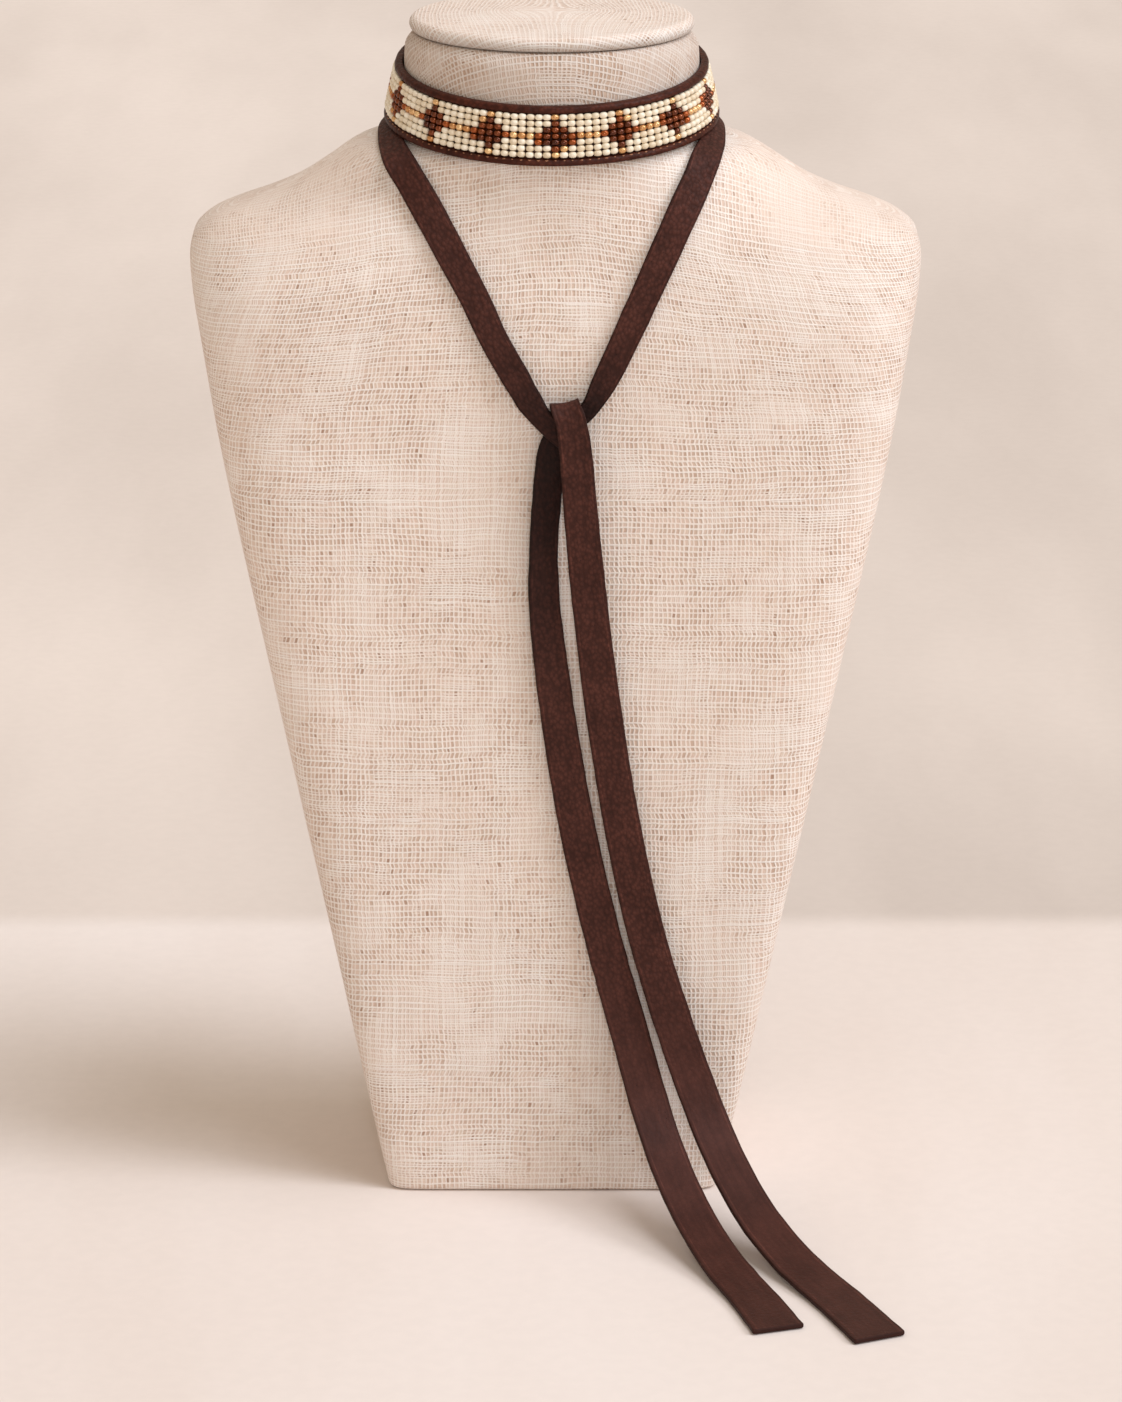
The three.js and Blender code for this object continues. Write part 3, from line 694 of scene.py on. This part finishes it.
def make_cap():
    """The disc on the neck, with a round rim and a slightly domed top."""
    rim = CAP["thick"] / 2
    outline = []
    for angle in np.linspace(-math.pi / 2, math.pi / 2, 19):
        outline.append((rim * (1 - math.cos(angle)), CAP["bottom"] + rim * (1 + math.sin(angle))))
    for part in np.linspace(0.06, 0.97, 22):
        inset = rim + (CAP["depth"] - rim) * part
        outline.append((inset, CAP["bottom"] + CAP["thick"] + CAP["dome"] * math.sin(part * math.pi / 2)))
    step = np.hypot(*np.diff(outline, axis=0).T)
    reach = CAP["depth"] + CAP["thick"] - np.concatenate([[0], np.cumsum(step)])
    turn = np.arange(CAP_COLUMNS + 1) / CAP_COLUMNS * 2 * math.pi
    rings = [ellipse(CAP["width"] - inset, CAP["depth"] - inset, z, turn[:-1]) for inset, z in outline]
    flat = np.array([ellipse(CAP_LONGER * r, r, 0, turn)[:, :2] for r in reach]) + CAP_CLOTH_AT
    loft("cap_linen", rings, cap_cloth, flat_uv=flat, nodes=["neck_cap"], slot="linen")


# ---------- choker


def choker_point(angle, height, out):
    """Points of the choker; height runs from 0 to 1, and out from the band's inner face."""
    half_x = BAND["low"][0] + (BAND["high"][0] - BAND["low"][0]) * height + out
    half_y = BAND["low"][1] + (BAND["high"][1] - BAND["low"][1]) * height + out
    slope = half_y * np.sin(angle) * math.tan(BAND["pitch"])
    return ellipse(half_x, half_y, BAND["bottom"] + height * BAND["tall"] + slope, angle)


LOOP_ANGLES = FRONT + np.linspace(-1.1 * math.pi, 1.1 * math.pi, 4001)
LOOP_ARCS = walked(choker_point(LOOP_ANGLES, 0.5, BAND["thick"]))
LOOP_ARCS -= np.interp(FRONT, LOOP_ANGLES, LOOP_ARCS)
HALF_LOOP = float(np.interp(FRONT + math.pi, LOOP_ANGLES, LOOP_ARCS))


def choker_angle(arc):
    """The angle at an arc length along the band's outer face from the middle of the front."""
    return np.interp(arc, LOOP_ARCS, LOOP_ANGLES)


def band_profile(core):
    """The band's section with a half-round roll along both edges, as heights and outs in mm."""
    tall, thick, roll = BAND["tall"], BAND["thick"], BAND["roll"]
    turn = np.linspace(0, math.pi, 15)
    bulge, power = 1.3, 0.75
    rise = roll / 2 * (1 - np.sign(np.cos(turn)) * np.abs(np.cos(turn)) ** power)
    out = thick - bulge + bulge * np.sin(turn) ** power
    low = [(0, 0.5), (0, 1.0), *zip(rise, out)]
    channel = [(roll, min(core + 0.1, thick - bulge)), (roll + 0.1, core)]
    flat = [(h, core) for h in np.linspace(roll + 0.4, tall - roll - 0.4, 9)]
    high = [(tall - h, o) for h, o in reversed(low + channel)]
    inside = [(tall - 0.2, 0.12), (tall - 0.6, 0), *[(h, 0) for h in (15, 10, 5)], (0.6, 0), (0.2, 0.12)]
    return np.array([*low, *channel, *flat, *high, *inside])


def make_band():
    """The choker's leather, hollow where the beads lie and full behind them."""
    reach = HALF_LOOP - BAND["back_gap"] / 2
    beaded = BEADS["stretches"] * BEADS["repeat"] * BEADS["column_pitch"] / 2 + GAP
    ends = np.array([BEAD_SHIFT - beaded, BEAD_SHIFT + beaded])
    slope, clear, wavy_from = 0.4, 1, 1.6
    arcs = np.linspace(-reach, reach, 280)
    arcs = arcs[(np.abs(arcs[:, None] - ends) > clear).all(1)]
    arcs = np.sort(np.concatenate([arcs, ends, ends + [-slope, slope]]))
    hollow, full = band_profile(BAND["core"]), band_profile(BAND["thick"] - 0.6)
    rings = []
    for arc in arcs:
        height, out = (hollow if ends[0] <= arc <= ends[1] else full).T
        wave = 0.05 * math.sin(arc * 0.35) + 0.04 * math.sin(arc * 0.83 + 1)
        out = out + np.where(out > wavy_from, wave, 0)
        rings.append(choker_point(choker_angle(arc), height / BAND["tall"], out))
    steps = np.linalg.norm(np.diff(hollow, axis=0, append=hollow[:1]), axis=1)
    around = np.concatenate([[0], np.cumsum(steps)])
    flat = np.stack(np.broadcast_arrays(around[None, :], arcs[:, None]), 2)
    loft("choker_leather", rings, band_leather, flat_uv=flat, nodes=["choker_band"], slot="leather")


BEAD_ROUND = 16
BEAD_RINGS = 9
# How far beads stray from their places, in and out, out of upright, and from their size
UNEVEN = {"place": 0.05, "depth": 0.3, "lean": 0.035, "size": 0.02}

# One repeat of the loomed pattern from the top row down: c cream, g gold, b dark brown, a amber
# brown. The middle column of the diamond is number 4.
PATTERN_MIDDLE = 4
PATTERN = [
    "ccccgccc",
    "ccccbccc",
    "cccbbbcc",
    "ggabbbag",
    "cccbbbcc",
    "ccccbccc",
    "ccccgccc",
]

# The columns of beads, counted from the one in the middle of the front
_half = BEADS["repeat"] * BEADS["stretches"] // 2
BEAD_COLUMNS = range(-_half, _half)


def bead_kind(row, column, rng):
    """The colour of the bead of a row from the top and a column from the middle diamond."""
    place = (column + PATTERN_MIDDLE) % BEADS["repeat"]
    offset = abs(place - PATTERN_MIDDLE)
    letter = PATTERN[row][place]
    if letter == "c" and row in (2, 4) and offset == 2 and rng.random() < 0.25:
        letter = "a"
    if letter == "c" and row in (1, 5) and offset == 1 and rng.random() < 0.2:
        letter = "g"
    return letter


def bead_shape():
    """A rounded bead about its upright hole, one unit wide and tall: points and faces."""
    hole, dimple, end_power, side_power = 0.3, 0.8, 0.9, 0.62
    levels = np.linspace(-1, 1, BEAD_RINGS)[:, None]
    tall = np.sin(levels * math.pi / 2)
    tall = np.sign(tall) * np.abs(tall) ** end_power
    wide = np.cos(levels * math.pi / 2) ** side_power
    wide[0] = wide[-1] = hole
    turn = np.arange(BEAD_ROUND) / BEAD_ROUND * 2 * math.pi
    points = ellipse(wide, wide, tall, turn).reshape(-1, 3)
    quads, _, _ = tube_faces(BEAD_RINGS, BEAD_ROUND)
    fans = np.vstack(fan_faces(BEAD_RINGS, BEAD_ROUND))
    return np.vstack([points, [0, 0, -dimple], [0, 0, dimple]]), quads, fans


def make_beads():
    """Every bead of the loomed panel, gathered into one piece for each colour."""
    rng = np.random.default_rng(11)
    shape, quads, fans = bead_shape()
    half_wide = BEADS["column_pitch"] / 2 * 1.01
    half_tall = BEADS["row_pitch"] / 2 * 1.04
    flat_back = 0.4
    kinds = {"cream": ([], []), "brown": ([], []), "gold": ([], [])}
    for column in BEAD_COLUMNS:
        arc = DIAMOND_ARC + column * BEADS["column_pitch"]
        for row in range(BEADS["rows"]):
            above_middle = (BEADS["rows"] - 1) / 2 - row
            height = 0.5 + above_middle * BEADS["row_pitch"] / BAND["tall"]
            shift = rng.normal(0, UNEVEN["place"], 3)
            angle = float(choker_angle(arc + shift[0]))
            height += shift[1] / BAND["tall"]
            at = choker_point(angle, height, BEADS["outer"] - half_wide + UNEVEN["depth"] * shift[2])
            side = unit(choker_point(angle + 0.01, height, 2) - choker_point(angle - 0.01, height, 2))
            up = unit(choker_point(angle, height + 0.1, 2) - choker_point(angle, height - 0.1, 2))
            out = unit(np.cross(side, up))
            lean = rng.normal(0, UNEVEN["lean"])
            side, up = side + lean * up, up - lean * side
            size = 1 + rng.normal(0, UNEVEN["size"], 2)
            local = shape * [half_wide * size[0], half_wide, half_tall * size[1]]
            local[:, 1] *= np.where(local[:, 1] < 0, 1.0, flat_back)
            placed = at + local[:, :1] * side - local[:, 1:2] * out + local[:, 2:] * up
            letter = bead_kind(row, column, rng)
            tone = rng.random()
            name = {"c": "cream", "g": "gold"}.get(letter, "brown")
            if name == "brown":
                tone = 0.5 * tone if letter == "b" else 0.55 + 0.45 * tone
            kinds[name][0].append(placed)
            kinds[name][1].append(tone)
    panels = [f"bead_panel_{n}" for n in range(1, BEADS["stretches"] + 1)]
    looks = {
        "cream": bead_material("bead_cream", shade(220, 200, 168), shade(249, 239, 219), 0.28, coat=0.2),
        "brown": bead_material("bead_brown", shade(46, 11, 2), shade(180, 90, 32), 0.22, 0.6, 0.2),
        "gold": bead_material("bead_gold", shade(190, 122, 58), shade(252, 214, 156), 0.22, 0.6, 0.4),
    }
    size = len(shape)
    for name, (placed, tones) in kinds.items():
        starts = np.arange(len(placed))[:, None, None] * size
        add_piece(
            f"beads_{name}",
            np.vstack(placed),
            [*(quads + starts).reshape(-1, 4), *(fans + starts).reshape(-1, 3)],
            looks[name],
            nodes=panels,
            slot="glass_beads",
            values={"tone": np.repeat(tones, size)},
        )


# Half a stitch's length and width, its place on the band, and how far its ends sink in
STITCH = {"half_long": 0.72, "half_wide": 0.24, "height": 2.0, "out": 2.42, "sunk": 0.25}


def make_stitches():
    """Tan stitches on the lower roll, one under each column of beads."""
    rng = np.random.default_rng(5)
    sides, parts = 8, 9
    turn = np.arange(sides) / sides * 2 * math.pi
    quads, _, _ = tube_faces(parts, sides)
    first_end = np.arange(sides)[::-1]
    last_end = np.arange(sides) + sides * (parts - 1)
    points = []
    faces = []
    for column in BEAD_COLUMNS:
        arc = DIAMOND_ARC + column * BEADS["column_pitch"] + rng.normal(0, 0.1)
        start = len(points) * sides
        half_long = STITCH["half_long"] + rng.normal(0, 0.14)
        for part in np.linspace(-1, 1, parts):
            wide = STITCH["half_wide"] * math.sqrt(max(0.02, 1 - abs(part) ** 3))
            height = STITCH["height"] + wide * np.cos(turn)
            out = STITCH["out"] - STITCH["sunk"] * part * part + wide * np.sin(turn)
            points.append(choker_point(choker_angle(arc + part * half_long), height / BAND["tall"], out))
        faces.extend([*(quads + start), first_end + start, last_end + start])
    points = np.array(points).reshape(-1, 3)
    add_piece("stitches", points, faces, thread_material(), slot="leather")


def make_clasp():
    """A plain bowed plate with rounded edges over the band's two ends."""
    rounded, steps = 0.5, 6
    low, high = CLASP["low"] * BAND["tall"] + rounded, CLASP["high"] * BAND["tall"] - rounded
    inner, outer = BAND["thick"] + GAP + rounded, BAND["thick"] + GAP + CLASP["thick"] - rounded
    corners = [(low, inner), (low, outer), (high, outer), (high, inner)]
    height, out = np.repeat(corners, steps, axis=0).T
    quarters = np.repeat(np.arange(4), steps) + np.tile(np.linspace(0, 1, steps), 4)
    angle = (1 - quarters) * math.pi / 2
    half = CLASP["wide"] / 2
    ends = [(0, 0), (0.12, 0.28), (0.3, 0.43), (0.5, rounded)]
    spots = [(-half + inset, radius) for inset, radius in ends]
    spots += [(arc, rounded) for arc in np.linspace(-half + 1.2, half - 1.2, 24)]
    spots += [(half - inset, radius) for inset, radius in reversed(ends)]
    rings = [
        choker_point(
            choker_angle(HALF_LOOP + arc),
            (height + radius * np.sin(angle)) / BAND["tall"],
            out + radius * np.cos(angle),
        )
        for arc, radius in spots
    ]
    loft("clasp_plate", rings, brass_material(), nodes=["choker_clasp"], slot="clasp_metal")


# ---------- lariat strap

FORWARD = (0, -1, 0)
INTO_CHEST = (0, 1, 0)
ROUND_THE_STRAP = (0.75, 0, -0.66)

# The strap's route from the end of the back tail to the end of the front tail. A free row is
# x, y, z, swing, wide; a row over the bust is x, z, lift, face, wide, where face may be None; and a
# row with a face is x, y, z, face, wide.
BACK_TAIL = [
    (82.3, -174.8, 1.2, 18, 19.6),
    (74.6, -150, 1.3, 18, 18.6),
    (68.4, -134.8, 2.4, 18, 17.8),
    (62.6, -122, 4.8, 19, 17.2),
    (53.8, -102, 12, 20, 16.4),
    (46.8, -85.8, 21.2, 18, 15.8),
    (41.1, -71.5, 31.8, 15, 15.3),
    (36.3, -62, 44.5, 11, 14.9),
    (29.8, -54.9, 66.9, 6, 14.5),
    (19.5, -51.3, 104.5, 2, 14),
    (10.5, -51.9, 145, 0, 13.6),
    (4.9, -52.6, 177, 1, 13.3),
    (0.4, -53.4, 209, 6, 12.8),
    (-2.8, -54.5, 240, 14, 11.8),
    (-2.9, -55.2, 263, 20, 11),
    (-1.8, -55.8, 279.5, 16, 11),
]
UP_THE_RIGHT = [
    (-0.7, 292.5, 3.6, FORWARD, 10.6),
    (0, 298.3, 3.7, FORWARD, 9.9),
    (1.7, 303, 3.7, FORWARD, 9.2),
    (5.4, 306.7, 3.7, FORWARD, 7.4),
    (10.6, 310.8, 3.7, FORWARD, 6.4),
    (14.2, 314.7, 3.4, FORWARD, 6.7),
    (18.2, 321.8, 2.6, FORWARD, 8.8),
    (22.3, 330, 2, None, 9.9),
    (26.7, 339.4, 1.8, None, 10.4),
    (33.4, 354, 1.6, None, 10.8),
    (39.9, 368.3, 1.8, None, 11.2),
    (46.3, 382.3, 2, None, 11.6),
    (52.2, 395, 2, None, 11.4),
]
ROUND_THE_NECK = [
    (55.9, -34.3, 402.1, (0.3, -0.42, 0.86), 11),
    (58.7, -22, 405.8, (0.33, -0.26, 0.9), 9.6),
    (59.3, -11, 408.2, (0.42, -0.11, 0.9), 9.6),
    (59.3, -1, 410, (0.57, 0, 0.82), 9.6),
    (57.2, 10, 412, (0.78, 0.1, 0.62), 9.8),
    (52.5, 21.3, 413.9, (0.86, 0.42, 0.28), 10.2),
    (42, 33.9, 414, (0.69, 0.72, 0.05), 10.8),
    (23.4, 45.2, 413, (0.33, 0.94, 0), 11.4),
    (0, 49.3, 412, (0, 1, 0), 11.6),
]
DOWN_THE_LEFT = [
    (-50.6, 395, 2, None, 11.4),
    (-43, 382.3, 2, None, 11.6),
    (-35.4, 368.3, 1.8, None, 11.2),
    (-27.8, 354, 1.6, None, 10.8),
    (-21, 339.4, 1.8, None, 10.4),
    (-12.7, 324.8, 2.8, None, 10.2),
    (-8.4, 317.4, 4, FORWARD, 9.8),
    (-4, 311.3, 5.3, FORWARD, 8.1),
    (-1.2, 308.4, 5.9, FORWARD, 7.8),
    (1.6, 305.7, 6, FORWARD, 7.6),
    (6.5, 301.4, 5.9, FORWARD, 7.4),
    (8, 300, 5.2, (0.53, -0.71, -0.47), 7.4),
    (8.6, 299.5, 3.6, ROUND_THE_STRAP, 7.4),
    (8, 300, 2, (0.53, 0.71, -0.47), 7.4),
    (6.4, 301.4, 1.35, INTO_CHEST, 7.4),
    (4.7, 303.4, 1.3, INTO_CHEST, 7.6),
    (4.2, 306.2, 1.3, INTO_CHEST, 8.6),
    (4.5, 312.4, 1.35, INTO_CHEST, 10.2),
    (4.6, 315, 2.4, (-0.1, 0.71, 0.71), 10.8),
    (4.7, 316, 4.9, (-0.19, 0, 1), 11),
    (5.3, 314.7, 7.4, (-0.1, -0.71, 0.71), 11),
    (6.7, 311.8, 8.6, FORWARD, 11.2),
    (8, 304.8, 8.8, FORWARD, 11.6),
    (9.3, 293, 8.7, FORWARD, 12),
    (10.2, 281, 8.4, FORWARD, 12.4),
]
FRONT_TAIL = [
    (13.9, -57.4, 241.3, 0, 13.1),
    (19.7, -54.8, 193.5, 0, 13.5),
    (27.4, -53.4, 145.8, 0, 13.8),
    (36.2, -52.9, 105.2, 2, 14.2),
    (47.7, -56.3, 67.5, 6, 14.7),
    (56.2, -62.4, 44.6, 11, 15.2),
    (62.2, -71.8, 31.8, 16, 15.8),
    (69.2, -86, 21.3, 20, 16.4),
    (77.8, -102, 12, 23, 17.2),
    (89.4, -122, 4.8, 25, 18.3),
    (97, -134.8, 2.4, 25, 18.9),
    (105.2, -150, 1.3, 24, 19.4),
    (118.7, -182, 1.2, 21, 20.4),
]

# By row of the route: how much painted shade darkens the leather in and under the knot, and how far its
# edges curl out where it is folded.
KNOT_SHADE_ROWS = [
    *[(11, 0), (12, 0.15), (13, 0.6), (14, 0.85), (15, 1), (21, 1), (22, 0.6), (23, 0.2), (24, 0)],
    *[(49, 0), (51, 0.35), (52, 0.6), (54, 0.8), (63, 0.8), (65, 0)],
]
CUPPED_ROWS = [(62.5, 0), (64, 0.3), (65, 0.8), (66, 0.9), (67.5, 0.5), (69, 0)]


def free_row(x, y, z, swing, wide):
    """A row of a tail, whose width is turned from X towards Y by swing degrees."""
    return {"at": np.array([x, y, z], float), "swing": math.radians(swing), "face": None, "wide": wide}


def chest_row(x, z, lift, face, wide):
    """A row at a distance over the bust's front: straight forward from it, if the face is given."""
    angle = front_angle(x, z)
    normal = bust_normal(angle, z)
    push = np.array(face and FORWARD or normal, float)
    at = bust_point(angle, z) + push * lift
    return {"at": at, "face": np.array(face or normal, float), "wide": wide}


def neck_row(x, y, z, face, wide):
    """A row at a place of its own, with its face."""
    return {"at": np.array([x, y, z], float), "face": np.array(face, float), "wide": wide}


def mirrored(row):
    """A neck row's place on the other side."""
    x, y, z, face, wide = row
    return (-x, y, z, (-face[0], face[1], face[2]), wide)


def strap_rows():
    """Every row of the route, with the way that the strap's outer face looks."""
    rows = [free_row(*row) for row in BACK_TAIL]
    rows += [chest_row(*row) for row in UP_THE_RIGHT]
    rows += [neck_row(*row) for row in ROUND_THE_NECK]
    rows += [neck_row(*mirrored(row)) for row in ROUND_THE_NECK[-2::-1]]
    rows += [chest_row(*row) for row in DOWN_THE_LEFT]
    rows += [free_row(*row) for row in FRONT_TAIL]
    for i, row in enumerate(rows):
        if row["face"] is None:
            along = rows[min(len(rows) - 1, i + 1)]["at"] - rows[max(0, i - 1)]["at"]
            across = np.array([math.cos(row["swing"]), math.sin(row["swing"]), 0])
            face = unit(np.cross(along, across))
            row["face"] = -face if face[2] - face[1] < 0 else face
    return rows


def catmull_rom(points, at):
    """Points of a centripetal Catmull-Rom curve; at runs from 0 to 1 over its rows."""
    padded = np.vstack([2 * points[0] - points[1], points, 2 * points[-1] - points[-2]])
    place = np.clip(at, 0, 1) * (len(points) - 1)
    i = np.minimum(place.astype(int), len(points) - 2)
    t = (place - i)[:, None]
    p0, p1, p2, p3 = (padded[i + k] for k in range(4))
    ends = (p0, p1), (p1, p2), (p2, p3)
    d0, d1, d2 = ((np.sum((b - a) ** 2, axis=1) ** 0.25)[:, None] for a, b in ends)
    d1 = np.where(d1 < 1e-4, 1.0, d1)
    d0 = np.where(d0 < 1e-4, d1, d0)
    d2 = np.where(d2 < 1e-4, d1, d2)
    m1 = ((p1 - p0) / d0 - (p2 - p0) / (d0 + d1) + (p2 - p1) / d1) * d1
    m2 = ((p2 - p1) / d1 - (p3 - p1) / (d1 + d2) + (p3 - p2) / d2) * d1
    return p1 + m1 * t + (3 * (p2 - p1) - 2 * m1 - m2) * t**2 + (2 * (p1 - p2) + m1 + m2) * t**3


def strap_profile():
    """The strap's section: the side, how far in from it, the depth, and how near the edge."""
    turn = np.linspace(0, math.pi / 2, 6)
    profile = []
    for side, face, forward in ((1, -1, True), (1, 1, False), (-1, 1, True), (-1, -1, False)):
        corner = []
        for t in turn:
            inset = STRAP_BEVEL * (1 - math.sin(t))
            depth = face * (STRAP_THICK / 2 - STRAP_BEVEL * (1 - math.cos(t)))
            corner.append((side, inset, depth, 0.2 + 0.8 * math.sin(t)))
        profile.extend(corner if forward else corner[::-1])
        if not forward:
            for share in (0.82, 0.4, 0.0, -0.4, -0.82):
                profile.append((side * share, STRAP_BEVEL, face * STRAP_THICK / 2, 0.0))
    return profile


def rounded_off(tip, radius):
    """How far a rounded edge draws in at a distance from the strap's tip."""
    return radius - np.sqrt(np.maximum(0, radius**2 - np.maximum(0, radius - tip) ** 2))


# Steps along the strap, in its middle and at both tips, and how its tips and long edges are worn
STRAP_STEP = 1.6
STRAP_TIP_STEPS = np.array([0, 0.08, 0.25, 0.5, 0.85, 1.2])
TIP_CORNER = 0.9
TIP_EDGE = 0.5
UNEVEN_EDGE = 0.07
# Where the inner face's leather is laid out, beside the outer face's
INNER_FACE_AT = 60


def make_strap():
    """The whole lariat as one long loft from tip to tip."""
    rows = strap_rows()
    at, faces = (np.array([row[key] for row in rows]) for key in ("at", "face"))
    widths = np.array([(row["wide"], 0, 0) for row in rows], float)
    dense = np.linspace(0, 1, 40 * (len(rows) - 1) + 1)
    way = walked(catmull_rom(at, dense))
    total = way[-1]
    inner = np.linspace(STRAP_STEP, total - STRAP_STEP, round(total / STRAP_STEP))
    arcs = np.concatenate([STRAP_TIP_STEPS, inner, total - STRAP_TIP_STEPS[::-1]])
    place = np.interp(arcs, way, dense)
    middle = catmull_rom(at, place)
    along = catmull_rom(at, place + 1e-4) - catmull_rom(at, place - 1e-4)
    along /= np.linalg.norm(along, axis=1)[:, None]
    face = catmull_rom(faces, place)
    face -= along * np.sum(face * along, axis=1)[:, None]
    face /= np.linalg.norm(face, axis=1)[:, None]
    across = np.cross(along, face)
    rng = np.random.default_rng(3)
    bumps = rng.normal(0, 1, 260)
    rough = np.interp(arcs, np.linspace(0, total, len(bumps)), bumps) * UNEVEN_EDGE
    tip = np.minimum(arcs, total - arcs)
    half = catmull_rom(widths, place)[:, 0] / 2 + rough - rounded_off(tip, TIP_CORNER)
    thin = rounded_off(tip, TIP_EDGE)
    row = place * (len(rows) - 1)
    # Painted shade in and under the knot
    knot_shade = np.interp(row, *zip(*KNOT_SHADE_ROWS))
    cup = np.interp(row, *zip(*CUPPED_ROWS))
    side, inset, depth, edge = np.array(strap_profile()).T
    half, thin, cup, tip = [values[:, None] for values in (half, thin, cup, tip)]
    a = side * (half - inset)
    b = np.copysign(np.maximum(0.05, np.abs(depth) - thin), depth) + cup * ((a / half) ** 2 - 0.3)
    rings = middle[:, None] + a[..., None] * across[:, None] + b[..., None] * face[:, None]
    sideways = a + np.where(depth > 0, 0, INNER_FACE_AT)
    flat = np.stack(np.broadcast_arrays(sideways, arcs[:, None]), 2)
    loft(
        "lariat_leather",
        rings,
        strap_leather,
        flat_uv=np.concatenate([flat, flat[:, :1]], 1),
        values={
            "edge": np.maximum(edge, np.where(tip < 0.3, 0.9, 0)),
            "knot_shade": np.repeat(knot_shade[:, None], len(side), 1),
        },
        nodes=["lariat_strap"],
        slot="leather",
    )


# ---------- stage and light


def make_stage():
    """A wide floor a hair below the bust, so that the two don't flicker."""
    side, steps, below = 9000, 24, 0.15
    xs = np.linspace(-side, side, steps)
    points = [(x, y, -below) for y in xs for x in xs]
    faces = [
        (r * steps + c, r * steps + c + 1, (r + 1) * steps + c + 1, (r + 1) * steps + c)
        for r in range(steps - 1)
        for c in range(steps - 1)
    ]
    floor = add_piece("floor", points, faces, floor_material(), rides=False)


def aim(lamp, direction):
    """Turns a lamp so that its light travels along a direction."""
    lamp.rotation_mode = "QUATERNION"
    lamp.rotation_quaternion = Vector(direction).to_track_quat("-Z", "Y")


def make_lights():
    """A low soft key from the right, a soft top light, a small front light and a bright room."""
    for name, energy, spread, direction in (
        ("key", 1.31, 24, (-0.9, 0.3, -0.6)),
        ("top", 1.04, 30, (-0.35, 0.2, -1.0)),
        ("front", 0.38, 8, (-0.08, 0.95, -0.33)),
    ):
        sun = bpy.data.objects.new(name, bpy.data.lights.new(name, "SUN"))
        sun.data.energy = energy
        sun.data.angle = math.radians(spread)
        sun.data.color = (0.985, 1.045, 1.155)
        aim(sun, direction)
        bpy.context.scene.collection.objects.link(sun)
    world = bpy.data.worlds.new("studio")
    world.use_nodes = True
    background = world.node_tree.nodes["Background"]
    background.inputs["Color"].default_value = (1.0, 0.868, 0.71, 1)
    background.inputs["Strength"].default_value = 0.535
    bpy.context.scene.world = world


# ---------- assembly

make_bust()
make_cap()
make_band()
make_beads()
make_stitches()
make_clasp()
make_strap()
make_stage()
make_lights()
